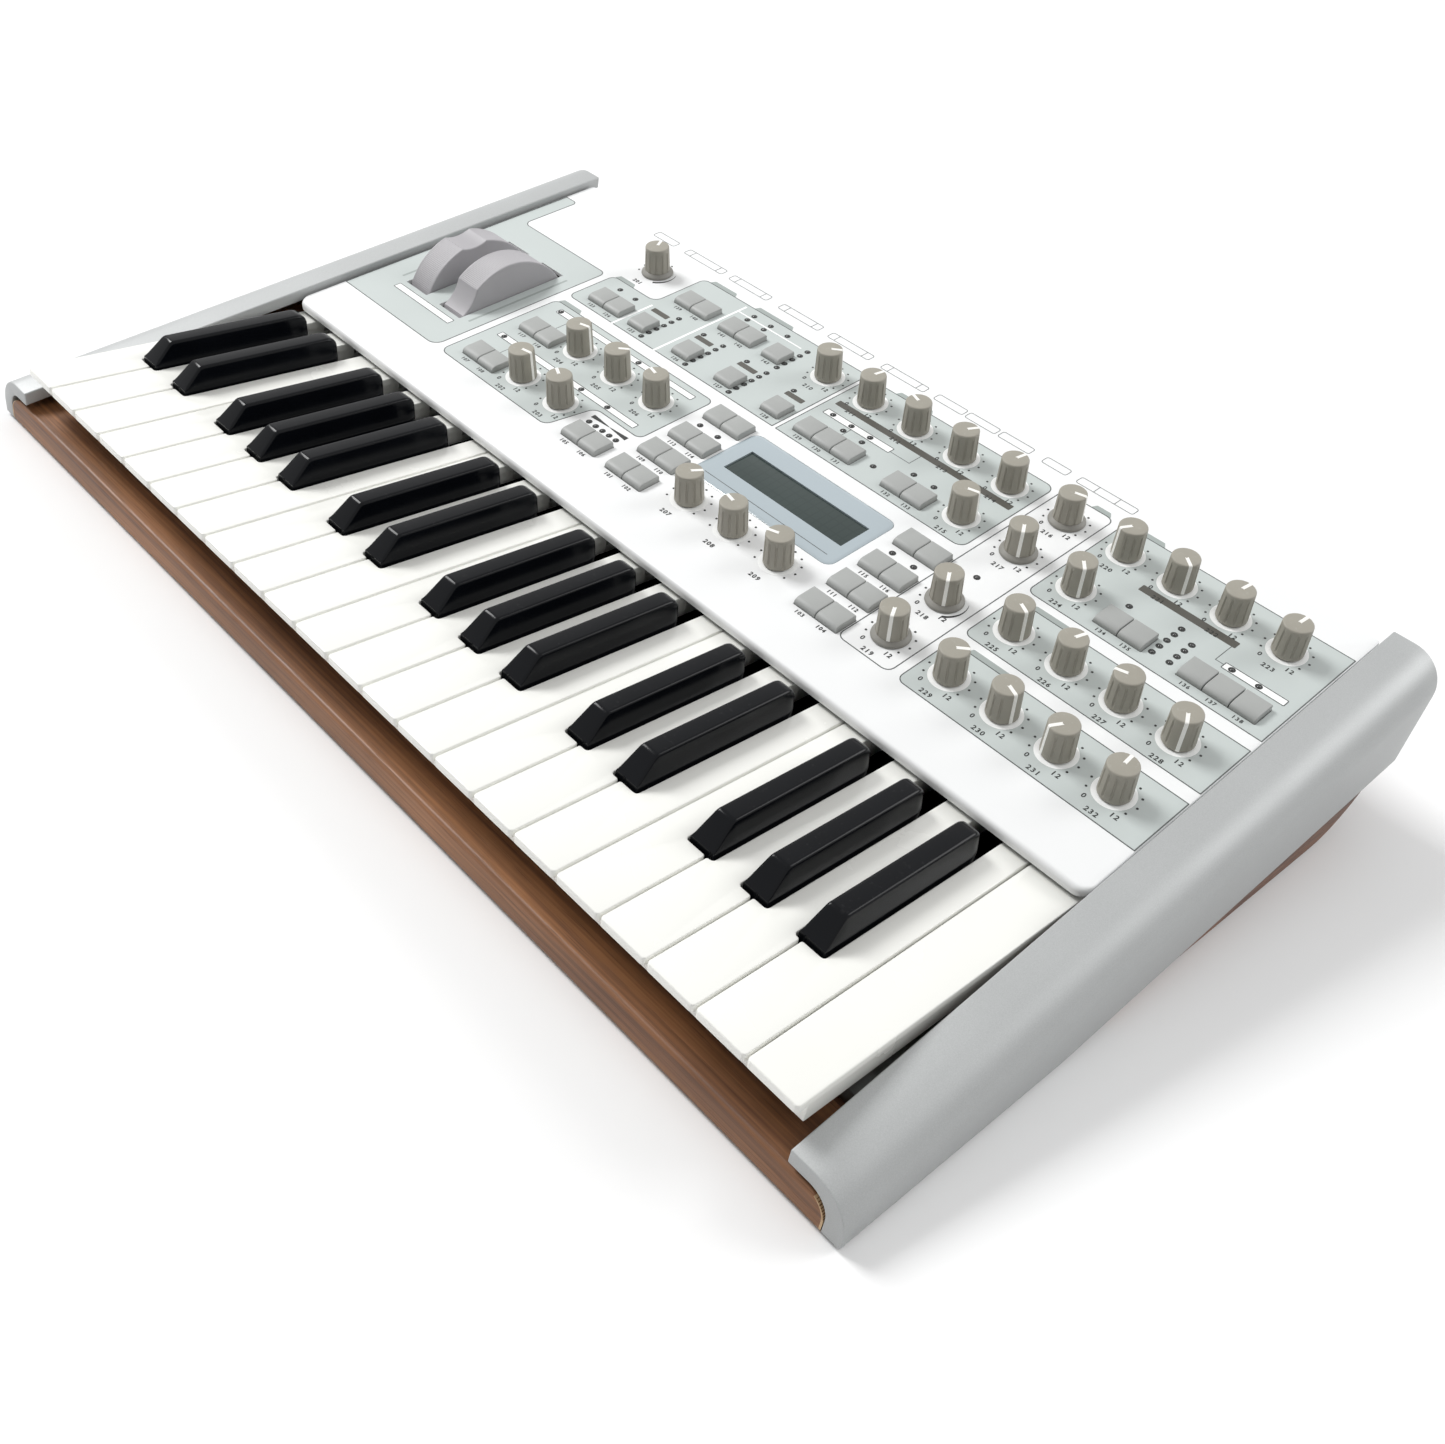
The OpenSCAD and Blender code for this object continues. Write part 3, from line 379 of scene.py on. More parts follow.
@dataclass(frozen=True)
class CircuitBoard(Finish):
    """Green board with paler copper tracks under its lacquer, along the edges of a cell pattern."""

    track: Tone = (58, 120, 70)
    cells_per_m: float = 260.0
    track_edge: Pair = (0.03, 0.07)

    def colour(self, graph: Graph) -> Socket:
        """Gives the lacquer colour, paler within a track's width of a cell edge.

        Args:
            graph: The material's nodes.

        Returns:
            The colour socket.
        """
        cells = {"Vector": graph.place(), "Scale": self.cells_per_m}
        made = graph.node("TexVoronoi", cells, feature="DISTANCE_TO_EDGE", distance="MANHATTAN")
        share = graph.spread(made.outputs["Distance"], self.track_edge, 1.0, 0.0)
        return graph.mix(share, super().colour(graph), light(self.track))


@dataclass(frozen=True)
class Screen(Finish):
    """A dark liquid-crystal screen at rest, with rows of faint cells."""

    cell: Tone = (84, 98, 94)
    cell_size: Pair = (4.1, 6.8)
    cell_gap: float = 0.4

    def colour(self, graph: Graph) -> Socket:
        """Gives the glass tone, a touch paler inside each cell of a brick pattern.

        Args:
            graph: The material's nodes.

        Returns:
            The colour socket.
        """
        width, height = self.cell_size
        bricks = {"Vector": graph.place(), "Scale": 1.0, "Color1": light(self.cell),
                  "Color2": light(self.cell), "Mortar": light(self.tone),
                  "Mortar Size": self.cell_gap * MM, "Brick Width": width * MM, "Row Height": height * MM}
        made = graph.node("TexBrick", bricks, offset=0.0)
        return self.mottled(graph, made.outputs["Color"], self.mottle, self.patch)


SILVER = Finish("silver_cheek_paint", (174, 176, 176), rough=0.5, spread=0.06, mottle=0.015, grain=0.4,
                relief=0.006, fleck=0.07, metal=0.3)
WALNUT = Timber("walnut_rail", (166, 114, 72), rough=0.46, mottle=0.14, patch=60.0, relief=0.06,
                dark=(86, 52, 30), pores=0.65)
WALNUT_BASE = Timber("walnut_base", (142, 92, 60), rough=0.5, mottle=0.12, patch=80.0, relief=0.05,
                     dark=(70, 41, 25), pores=0.6, layers=0.12)
PLY = Timber("ply_edge", (214, 186, 148), rough=0.6, mottle=0.06, patch=6.0, relief=0.03,
             dark=(176, 142, 104), pores=0.4)
PANEL_WHITE = Finish("panel_white_paint", (238, 239, 239), rough=0.42, mottle=0.012, grain=0.55,
                     relief=0.006)
FIELD_INK = Finish("field_ink", (193, 200, 198), rough=0.5, mottle=0.015, grain=0.5, relief=0.005)
TAB_INK = Finish("tab_ink", (160, 168, 165), rough=0.5, mottle=0.02, grain=0.5, relief=0.004)
STRIP_INK = Finish("strip_ink", (248, 249, 248), rough=0.46, mottle=0.01, grain=0.5, relief=0.004)
LINE_INK = Finish("line_ink", (84, 88, 87), rough=0.5, mottle=0.04, patch=8.0, relief=0.003)
DARK_INK = Finish("dark_ink", (40, 41, 40), rough=0.48, mottle=0.06, patch=6.0, relief=0.003)
BAR_INK = Finish("label_bar_ink", (84, 82, 76), rough=0.5, mottle=0.04, patch=10.0, relief=0.003)
KNOB_GREY = Finish("knob_warm_grey", (155, 151, 140), rough=0.52, mottle=0.03, patch=9.0, grain=0.22,
                   relief=0.012, dust=0.10)
SKIRT_GREY = Finish("knob_skirt_grey", (138, 136, 130), rough=0.5, mottle=0.03, patch=9.0, grain=0.22,
                    relief=0.01)
POINTER_WHITE = Finish("pointer_white", (244, 243, 238), rough=0.4, mottle=0.015, patch=5.0, relief=0.004)
CAP_GREY = Finish("cap_light_grey", (163, 165, 163), rough=0.5, mottle=0.025, patch=10.0, grain=0.25,
                  relief=0.012)
WHEEL_GREY = Finish("wheel_cool_grey", (168, 166, 169), rough=0.5, mottle=0.02, patch=14.0, grain=0.3,
                    relief=0.01)
IVORY = Finish("white_key_plastic", (240, 240, 235), rough=0.24, spread=0.1, mottle=0.012, patch=30.0,
               grain=1.4, relief=0.004, coat=0.15)
EBONY = Finish("black_key_plastic", (8, 10, 14), rough=0.17, spread=0.08, mottle=0.1, patch=25.0,
               grain=0.9, relief=0.003, dust=0.01, sheen_ior=1.24)
WINDOW = Finish("display_window_plate", (168, 180, 186), rough=0.16, spread=0.06, mottle=0.015,
                grain=0.8, relief=0.002, coat=0.6)
LCD = Screen("lcd_glass", (50, 61, 59), rough=0.2, spread=0.05, mottle=0.06, patch=40.0, relief=0.001,
             sheen_ior=1.42, cell=(53, 64, 62))
LENS = Finish("light_lens", (34, 35, 35), rough=0.2, spread=0.08, mottle=0.1, patch=2.0, relief=0.002,
              coat=0.6)
REAR_PLATE = Finish("rear_plate_paint", (70, 71, 74), rough=0.55, mottle=0.04, grain=0.6, relief=0.03)
STEEL = Finish("bright_steel", (178, 178, 176), rough=0.3, spread=0.14, mottle=0.05, patch=6.0,
               grain=0.3, relief=0.006, metal=1.0)
ZINC = Finish("zinc_sheet", (150, 152, 150), rough=0.42, spread=0.16, mottle=0.1, patch=12.0, metal=0.9)
SOCKET_BLACK = Finish("socket_plastic", (32, 32, 33), rough=0.45, mottle=0.08, patch=8.0, grain=0.3,
                      relief=0.01)
RUBBER = Finish("rubber_foot", (28, 28, 28), rough=0.8, mottle=0.1, patch=6.0, grain=0.5, relief=0.03)
BOARD = CircuitBoard("green_board", (34, 92, 50), rough=0.35, mottle=0.05, patch=20.0, relief=0.01)


# Outlines and surfaces

def mesh_points(mesh: bpy.types.Mesh) -> Array:
    """Reads a mesh's points.

    Args:
        mesh: The mesh.

    Returns:
        Its points in its own units, (points, 3).
    """
    raw = np.zeros(len(mesh.vertices) * 3)
    mesh.vertices.foreach_get("co", raw)
    return raw.reshape(-1, 3)


def linked(name: str, data: bpy.types.ID) -> bpy.types.Object:
    """Makes an object of some data and puts it into the scene."""
    made = bpy.data.objects.new(name, data)
    bpy.context.scene.collection.objects.link(made)
    return made


def rounded(corners: Sequence, radii: object, steps: int = 6) -> Array:
    """Rounds a polygon's corners by arcs that touch both sides.

    An arc's centre is on the corner's bisector, radius / sin(half the corner) away, and its ends are
    radius / tan(half the corner) along the sides.

    Args:
        corners: The polygon, anticlockwise.
        radii: One radius, or one for each corner.
        steps: Straight steps in each arc.

    Returns:
        The outline's points, (corners * (steps + 1), 2).
    """
    p = np.asarray(corners, float)
    radius = np.broadcast_to(np.asarray(radii, float), len(p))[:, None]
    back = np.roll(p, 1, 0) - p
    ahead = np.roll(p, -1, 0) - p
    back /= np.linalg.norm(back, axis=1, keepdims=True)
    ahead /= np.linalg.norm(ahead, axis=1, keepdims=True)
    half = np.arccos(np.clip((back * ahead).sum(1), -1, 1))[:, None] / 2
    middle = back + ahead
    middle /= np.linalg.norm(middle, axis=1, keepdims=True)
    centre = p + middle * radius / np.sin(half)
    start = p + back * radius / np.tan(half) - centre
    side = np.sign(back[:, 1] * ahead[:, 0] - back[:, 0] * ahead[:, 1])[:, None]
    angle = np.arctan2(start[:, 1], start[:, 0])[:, None]
    angle = angle + side * (np.pi - 2 * half) * np.linspace(0, 1, steps + 1)
    ring = np.stack([np.cos(angle), np.sin(angle)], -1) * radius[..., None]
    return (centre[:, None] + ring).reshape(-1, 2)


def box_outline(u: Pair, v: Pair, radius: float) -> Array:
    """Gives a rectangle with round corners, from its spans."""
    return rounded([(u[0], v[0]), (u[1], v[0]), (u[1], v[1]), (u[0], v[1])], radius, 4)


def box_at(centre: Sequence[float], half: Sequence[float], radius: float) -> Array:
    """Gives a rectangle with round corners, from its middle and half its sides."""
    (u, v), (across, up) = centre, half
    return box_outline((u - across, u + across), (v - up, v + up), radius)


def full_turn(count: int) -> Array:
    """Gives the angles of equal steps round a circle."""
    return np.arange(count) * 2 * np.pi / count


def circle(centre: Sequence[float], radius: float, count: int = 32) -> Array:
    """Gives a circle's points, anticlockwise."""
    angle = full_turn(count)
    return np.asarray(centre) + radius * np.stack([np.cos(angle), np.sin(angle)], -1)


def revolved(profile: Array, count: int) -> Array:
    """Turns a side view about the third axis: at an angle a, x is r sin a and y is r cos a.

    Args:
        profile: Radius and height of each point, (points, 2).
        count: Steps round the axis.

    Returns:
        The side view at each step, (count, points, 3).
    """
    angle = full_turn(count)
    r, z = np.asarray(profile, float).T
    return np.stack([np.outer(np.sin(angle), r), np.outer(np.cos(angle), r),
                     np.broadcast_to(z, (count, len(z)))], -1)


def inset(outline: Array, distance: object) -> Array:
    """Moves a closed outline inwards: each point goes along its sides' bisector, as a mitre does.

    Args:
        outline: The points, anticlockwise.
        distance: How far, for all points or for each.

    Returns:
        The moved points.
    """
    mitre_limit = 0.3
    ahead = np.roll(outline, -1, 0) - outline
    ahead /= np.maximum(np.linalg.norm(ahead, axis=1, keepdims=True), TINY)
    normal = np.stack([-ahead[:, 1], ahead[:, 0]], 1)
    mitre = normal + np.roll(normal, 1, 0)
    mitre /= np.maximum((mitre * normal).sum(1, keepdims=True), mitre_limit)
    return outline + mitre * np.broadcast_to(np.asarray(distance, float), len(outline))[:, None]


def within(outline: Array, points: Array) -> Array:
    """Tells which points are inside an outline: a line from each crosses its edge an odd number of times.

    Args:
        outline: The closed outline's points.
        points: The points to test, (count, 2).

    Returns:
        True for each point inside.
    """
    a, b = outline[:, None], np.roll(outline, -1, 0)[:, None]
    crossing = (a[..., 1] > points[:, 1]) != (b[..., 1] > points[:, 1])
    rise = np.where(b[..., 1] == a[..., 1], 1.0, b[..., 1] - a[..., 1])
    at = a[..., 0] + (points[:, 1] - a[..., 1]) / rise * (b[..., 0] - a[..., 0])
    return (crossing & (at > points[:, 0])).sum(0) % 2 == 1


def at_height(outline: Array, height: object) -> Array:
    """Adds a third coordinate to flat points."""
    level = np.broadcast_to(np.asarray(height, float), outline.shape[:-1])
    return np.concatenate([outline, level[..., None]], -1)


def smooth(share: Array) -> Array:
    """Eases a share from 0 to 1 with level ends: 3 s squared minus 2 s cubed."""
    s = np.clip(share, 0, 1)
    return s * s * (3 - 2 * s)


def as_drawn(points: Array) -> Array:
    """Leaves points where they are: the place of pieces drawn in the case's own frame."""
    return points


@dataclass
class Surface:
    """One piece's points and faces, gathered patch by patch in millimetres."""

    points: list[Array] = field(default_factory=list)
    faces: list[list[int]] = field(default_factory=list)
    finish: list[int] = field(default_factory=list)
    count: int = 0

    def add(self, points: Array, faces: object, finish: int = 0) -> None:
        """Adds points and the faces that join them.

        Args:
            points: Any array of points in millimetres.
            faces: Rows of point numbers, all with as many corners.
            finish: The faces' finish, by number.
        """
        self.gather(points, (np.asarray(faces) + self.count).tolist(), finish)

    def gather(self, points: Array, rows: list[list[int]], finish: int = 0) -> None:
        """Adds points and faces of any number of corners.

        Args:
            points: Any array of points in millimetres.
            rows: The faces, numbered among all the points of the piece.
            finish: The faces' finish, by number.
        """
        flat = np.asarray(points, float).reshape(-1, 3)
        self.points.append(flat)
        self.faces += rows
        self.finish += [finish] * len(rows)
        self.count += len(flat)

    def grid(self, points: Array, finish: int = 0, wrap: bool = False) -> None:
        """Adds a grid of points as quads.

        Args:
            points: The grid, (rows, columns, 3).
            finish: The faces' finish, by number.
            wrap: Whether the last column joins the first.
        """
        index = np.arange(points.shape[0] * points.shape[1]).reshape(points.shape[:2])
        if wrap:
            index = np.concatenate([index, index[:, :1]], 1)
        quads = np.stack([index[:-1, :-1], index[:-1, 1:], index[1:, 1:], index[1:, :-1]], -1)
        self.add(points, quads.reshape(-1, 4), finish)

    def loft(self, rings: Array, finish: int = 0) -> None:
        """Adds a closed skin over rings, with a face at each end.

        Args:
            rings: The rings in order, (rings, points, 3).
            finish: The faces' finish, by number.
        """
        self.grid(rings, finish, wrap=True)
        for end in (rings[0], rings[-1]):
            self.add(end, [np.arange(len(end))], finish)

    def hoop(self, rings: Array, finish: int = 0) -> None:
        """Adds a skin over rings, (rings, points, 3), whose last ring joins the first."""
        self.grid(np.concatenate([rings, rings[:1]]), finish, wrap=True)

    def wall(self, outline: Array, low: float, high: float, place: Place, finish: int = 0) -> None:
        """Adds an open wall along a closed outline, from one height to another."""
        self.grid(place(np.stack([at_height(outline, low), at_height(outline, high)])), finish, wrap=True)

    def prism(self, outline: Array, low: float, high: float, place: Place, finish: int = 0) -> None:
        """Adds an outline drawn out from one height to another."""
        self.loft(place(np.stack([at_height(outline, low), at_height(outline, high)])), finish)

    def soft_prism(self, outline: Array, low: float, high: float, edge: float, place: Place,
                   finish: int = 0, steps: int = 3) -> None:
        """Adds a prism whose top edge is a quarter round.

        At an angle a of the round, the outline is drawn in by edge * (1 - cos a) and stands at
        high - edge * (1 - sin a).

        Args:
            outline: The outline, anticlockwise.
            low: Height of the foot.
            high: Height of the top.
            edge: Radius of the round.
            place: Where the outline's frame is.
            finish: The faces' finish, by number.
            steps: Straight steps in the round.
        """
        rings = [at_height(outline, low)]
        rings += [at_height(inset(outline, edge * (1 - math.cos(a))), high - edge * (1 - math.sin(a)))
                  for a in np.linspace(0, np.pi / 2, steps + 1)]
        self.loft(place(np.stack(rings)), finish)

    def lid(self, outer: Array, holes: Sequence[Array], height: float, place: Place,
            finish: int = 0) -> None:
        """Adds a flat sheet with holes, cut into triangles that keep every edge of its outlines.

        Args:
            outer: The sheet's outline.
            holes: Outlines of its holes.
            height: Its height.
            place: Where the outlines' frame is.
            finish: The faces' finish, by number.
        """
        loops = [outer, *holes]
        starts = np.cumsum([0] + [len(loop) for loop in loops])
        numbers = [np.arange(first, end) for first, end in zip(starts[:-1], starts[1:])]
        rims = np.concatenate([np.stack([n, np.roll(n, -1)], -1) for n in numbers]).tolist()
        made = delaunay_2d_cdt([Vector(p) for p in np.concatenate(loops).tolist()], rims, [], 0, CELL)
        corners = np.array([tuple(p) for p in made[0]])
        triangles = np.array([list(face) for face in made[2]])
        middles = corners[triangles].mean(1)
        kept = within(outer, middles)
        for hole in holes:
            kept &= ~within(hole, middles)
        self.add(place(at_height(corners, height)), triangles[kept], finish)

    def plate(self, outer: Array, holes: Sequence[Array], low: float, high: float, place: Place,
              finish: int = 0) -> None:
        """Adds a flat plate with holes: a sheet above, a sheet below and a wall round each outline.

        Args:
            outer: The plate's outline.
            holes: Outlines of its holes.
            low: Height of its lower sheet.
            high: Height of its upper sheet.
            place: Where the outlines' frame is.
            finish: The faces' finish, by number.
        """
        for height in (low, high):
            self.lid(outer, holes, height, place, finish)
        for loop in (outer, *holes):
            self.wall(loop, low, high, place, finish)

    def piece(self, name: str, body: str, finishes: Sequence[Finish], slot: str,
              replaces: Sequence[str] = (), sharp: float = 32.0) -> bpy.types.Object:
        """Makes the Blender object, sewn, facing outwards and riding on its body.

        Args:
            name: The piece's name.
            body: The CAD body that it moves with.
            finishes: Its finishes, in the order of the faces' numbers.
            slot: The record's material slot for the piece; not used.
            replaces: CAD nodes that it stands for.
            sharp: Angle in degrees past which an edge looks sharp.

        Returns:
            The object.
        """
        mesh = bpy.data.meshes.new(name)
        mesh.from_pydata((np.concatenate(self.points) * MM).tolist(), [], self.faces)
        mesh.polygons.foreach_set("material_index", self.finish)
        sewn = bmesh.new()
        sewn.from_mesh(mesh)
        bmesh.ops.remove_doubles(sewn, verts=sewn.verts, dist=SEAM)
        bmesh.ops.recalc_face_normals(sewn, faces=sewn.faces)
        sewn.to_mesh(mesh)
        sewn.free()
        mesh.shade_smooth()
        mesh.set_sharp_from_angle(angle=math.radians(sharp))
        for finish in finishes:
            mesh.materials.append(finish.material())
        made = linked(name, mesh)
        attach(made, body)
        if replaces:
            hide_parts(*replaces)
        LOG.info("%s: %d faces on %s", name, len(mesh.polygons), body)
        return made


# Places taken from the frame

def span(node: str) -> tuple[Array, Array]:
    """Gives a CAD node's lowest and highest corner in millimetres."""
    low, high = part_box(node)
    return np.array(low) / MM, np.array(high) / MM


def joint(name: str) -> dict:
    """Gives one joint of the record by its name."""
    return next(j for j in frame["joints"] if j["name"] == name)


@dataclass(frozen=True)
class Slope:
    """The panel's plane in the case: u runs across it, v up its slope and h out of it."""

    front_y: float
    front_z: float
    tilt: float

    @classmethod
    def from_frame(cls) -> "Slope":
        """Finds the plane: its tilt from the way the buttons travel, its place from a knob's axis.

        Returns:
            The plane.
        """
        axis = joint("panel_buttons_press")["axis"]
        tilt = math.atan2(axis[1], -axis[2])
        front_y = span("top_panel")[0][1]
        _, y, z = np.array(joint("volume_knob_turn")["pos_m"]) / MM
        return cls(front_y, z - (y - front_y) * math.tan(tilt), tilt)

    def place(self, points: Array) -> Array:
        """Puts panel points into the case: v goes back and up, h goes up and forward.

        Args:
            points: Points (u, v, h) in an array of any shape.

        Returns:
            The points (x, y, z) in the case.
        """
        u, v, h = np.moveaxis(np.asarray(points, float), -1, 0)
        y = self.front_y + v * math.cos(self.tilt) - h * math.sin(self.tilt)
        z = self.front_z + v * math.sin(self.tilt) + h * math.cos(self.tilt)
        return np.stack([u, y, z], -1)

    def local(self, points: Array) -> Array:
        """Gives the panel coordinates of points in the case, the other way round from place.

        Args:
            points: Points (x, y, z) in an array of any shape.

        Returns:
            The points (u, v, h) on the panel.
        """
        x, y, z = np.moveaxis(np.asarray(points, float), -1, 0)
        y, z = y - self.front_y, z - self.front_z
        v = y * math.cos(self.tilt) + z * math.sin(self.tilt)
        h = z * math.cos(self.tilt) - y * math.sin(self.tilt)
        return np.stack([x, v, h], -1)

    def height(self, y: Array, h: Array) -> Array:
        """Gives the height in the case of a layer h of the panel at a distance y along the case."""
        return self.front_z + (y - self.front_y) * math.tan(self.tilt) + h / math.cos(self.tilt)

    def islands(self, node: str) -> Array:
        """Finds the separate solids of a CAD node on the panel.

        Each point takes the lowest number among the triangles that it shares, over and over, until
        every solid has one number.

        Args:
            node: The CAD node's name.

        Returns:
            The middle of each solid across the panel, (solids, 2), sorted by v and then u.
        """
        mesh = frame["nodes"][node].data
        corners = np.zeros(len(mesh.loops), int)
        mesh.loops.foreach_get("vertex_index", corners)
        places, number = np.unique(np.round(mesh_points(mesh) / CELL), axis=0, return_inverse=True)
        triangles = number.reshape(-1)[corners].reshape(-1, 3)
        label = np.arange(len(places))
        changed = True
        while changed:
            lower = label.copy()
            np.minimum.at(lower, triangles.ravel(), np.repeat(label[triangles].min(1), 3))
            changed = bool((lower != label).any())
            label = lower
        flat = self.local(places * CELL / MM)[:, :2]
        middles = [(flat[label == n].min(0) + flat[label == n].max(0)) / 2 for n in np.unique(label)]
        found = np.array(middles)
        return found[np.lexsort((found[:, 0], np.round(found[:, 1], 1)))]


class Side(Enum):
    """Which end of the case a cheek closes."""

    LEFT = -1
    RIGHT = 1


# Case

@dataclass
class Cheek:
    """An end cheek: one bent section carried along the slope, cut level below and square at its ends."""

    side: Side
    slope: Slope
    width: float = 26.3
    shoulder: float = 16.4
    leg: float = 8.0
    flange: float = 6.2
    fillet: float = 9.0
    proud: float = 3.4
    level_len: float = 115.5
    rear_low: float = 29.3
    edge: float = 0.5
    soft: float = 0.7
    reach: float = 200.0
    stations: int = 30

    @property
    def node(self) -> str:
        """Name of the CAD node that the cheek stands for."""
        return self.side.name.lower() + "_cheek"

    def section(self) -> Array:
        """Gives the section, from the inner edge outwards and from the top down, with a far lower end.

        Returns:
            Distance across the cheek and drop from its top, (points, 2).
        """
        inner, soft = self.width - self.leg, self.soft
        corners = [(0, 0), (0, -self.flange), (inner, -self.flange), (inner, -self.reach),
                   (self.width, -self.reach), (self.width, 0)]
        return rounded(corners, [soft, soft, self.fillet, soft, soft, self.shoulder], 12)

    def build(self) -> None:
        """Carries the section from front to back.

        A point of the upper part keeps its distance under the slope, a point of the foot keeps its
        distance over the lower edge, and both ends are drawn in by a quarter round.
        """
        low, high = span(self.node)
        outer = max(abs(low[0]), abs(high[0]))
        front, rear, foot = low[1], high[1], low[2]
        section = self.section()
        turn = np.linspace(np.pi / 2, 0, 4)
        rim = self.edge * (1 - np.sin(turn)), self.edge * (1 - np.cos(turn))
        even = np.linspace(front + self.edge, rear - self.edge, self.stations)[1:-1]
        middle = np.sort([*even, front + self.level_len])
        stations = np.concatenate([front + rim[0], middle, (rear - rim[0])[::-1]])
        drawn_in = np.concatenate([rim[1], np.zeros(len(middle)), rim[1][::-1]])
        rings = []
        for y, distance in zip(stations, drawn_in):
            x, drop = inset(section, distance).T
            share = max(0.0, (y - front - self.level_len) / (rear - front - self.level_len))
            under = foot + share * (self.rear_low - foot)
            z = np.where(drop > -self.reach / 2, self.slope.height(y, self.proud + drop),
                         under + drop + self.reach)
            across = self.side.value * (outer - self.width + x)
            rings.append(np.stack([across, np.full_like(x, y), z], -1))
        skin = Surface()
        skin.loft(np.stack(rings))
        skin.piece(self.node + "_shell", CASE, [SILVER], "silver_cheek", [self.node], sharp=40.0)


@dataclass
class FrontRail:
    """The walnut rail under the keys' front, with a round upper edge and ends that follow the cheeks."""

    edge: float = 2.0
    foot_r: float = 0.8
    back_r: float = 0.3
    fillet: float = 9.0
    columns: int = 40
    hair: float = 0.05
    band: float = 0.9
    band_tip: float = 0.15
    band_foot: float = 0.6
    band_depth: float = 3.0
    band_turn: float = math.pi / 2.6
    node: str = "wood_front_rail"

    def build(self) -> None:
        """Carries the rail's side view across the case; near an end its height follows a quarter circle."""
        low, high = span(self.node)
        depth, height, end = high[1] - low[1], high[2] - low[2], high[0]
        profile = rounded([(0, 0), (depth, 0), (depth, height), (0, height)],
                          [self.foot_r, self.back_r, self.back_r, self.edge], 8)
        turn = np.linspace(0, np.pi / 2, 14)
        bend = end - self.fillet + self.fillet * np.sin(turn)
        ceiling = height - self.fillet + self.fillet * np.cos(turn)
        middle = np.linspace(-bend[0], bend[0], self.columns)[1:-1]
        across = np.concatenate([-bend[::-1], middle, bend])
        limit = np.concatenate([ceiling[::-1], np.full_like(middle, height), ceiling])
        y, z = profile.T
        rise = low[2] + np.minimum(z, limit[:, None])
        back = low[1] + self.hair + y * (1 - self.hair / depth)
        rings = np.stack([np.broadcast_to(across[:, None], rise.shape), np.broadcast_to(back, rise.shape),
                          rise], -1)
        skin = Surface()
        skin.loft(rings)
        skin.piece("walnut_rail", CASE, [WALNUT], "walnut", [self.node], sharp=40.0)
        self.build_bands(low, end, height)

    def build_bands(self, low: Array, end: float, height: float) -> None:
        """Adds the pale ply edge at each end: a strip inside the end's curve, a hair proud of the front.

        Args:
            low: The rail's lowest corner.
            end: Distance of its ends from the middle.
            height: Its height.
        """
        turn = np.linspace(0, self.band_turn, 12)
        centre = np.array([end - self.fillet, height - self.fillet])
        arc = np.stack([np.cos(turn), np.sin(turn)], -1)
        outer = np.concatenate([[(end, self.band_foot)], centre + self.fillet * arc])
        taper = np.linspace(self.band, self.band_tip, len(arc))[:, None]
        inner = np.concatenate([[(end - self.band, self.band_foot)], centre + (self.fillet - taper) * arc])
        loop = np.concatenate([outer, inner[::-1]])
        skin = Surface()
        for side in Side:
            rings = [np.stack([side.value * loop[:, 0], np.full(len(loop), y), low[2] + loop[:, 1]], -1)
                     for y in (low[1], low[1] + self.band_depth)]
            skin.loft(np.stack(rings))
        skin.piece("rail_end_bands", CASE, [PLY], "walnut")


# Panel

@dataclass
class Openings:
    """Openings in the panel's sheet: one for each row of button caps, the wheels' slots and the window."""

    slope: Slope
    cap_size: Pair = (12.1, 12.0)
    cap_gap: float = 0.4
    cap_r: float = 0.6
    pitch: float = 12.6
    row_slack: Pair = (1.0, 0.3)
    wheel_u: Pair = (-229.4, -199.4)
    wheel_v: float = 88.3
    slot: Pair = (18.2, 68.4)
    slot_r: float = 0.5
    window: Pair = (91.5, 44.5)
    window_at: Pair = (29.75, 80.25)
    window_r: float = 4.5

    def rows(self) -> list[Array]:
        """Groups the caps that share an opening: those in one line, one pitch apart.

        Returns:
            The places of each group's caps, from left to right.
        """
        caps = self.slope.islands("panel_buttons")
        across, up = np.diff(caps, axis=0).T
        slack_u, slack_v = self.row_slack
        apart = (np.abs(up) > slack_v) | (across > self.pitch + slack_u) | (across < 0)
        return np.split(caps, np.flatnonzero(apart) + 1)

    def cap_outlines(self) -> list[Array]:
        """Gives the outline of each opening for caps."""
        half = np.array(self.cap_size) / 2 + self.cap_gap
        return [box_outline((row[0, 0] - half[0], row[-1, 0] + half[0]),
                            (row[0, 1] - half[1], row[0, 1] + half[1]), self.cap_r) for row in self.rows()]

    def slot_outlines(self) -> list[Array]:
        """Gives the outlines of the two wheel slots."""
        return [box_at((u, self.wheel_v), np.array(self.slot) / 2, self.slot_r) for u in self.wheel_u]

    def window_outline(self, margin: float = 0.0) -> Array:
        """Gives the display window's outline, drawn out by a margin."""
        return box_at(self.window_at, np.array(self.window) / 2 + margin, self.window_r + margin)


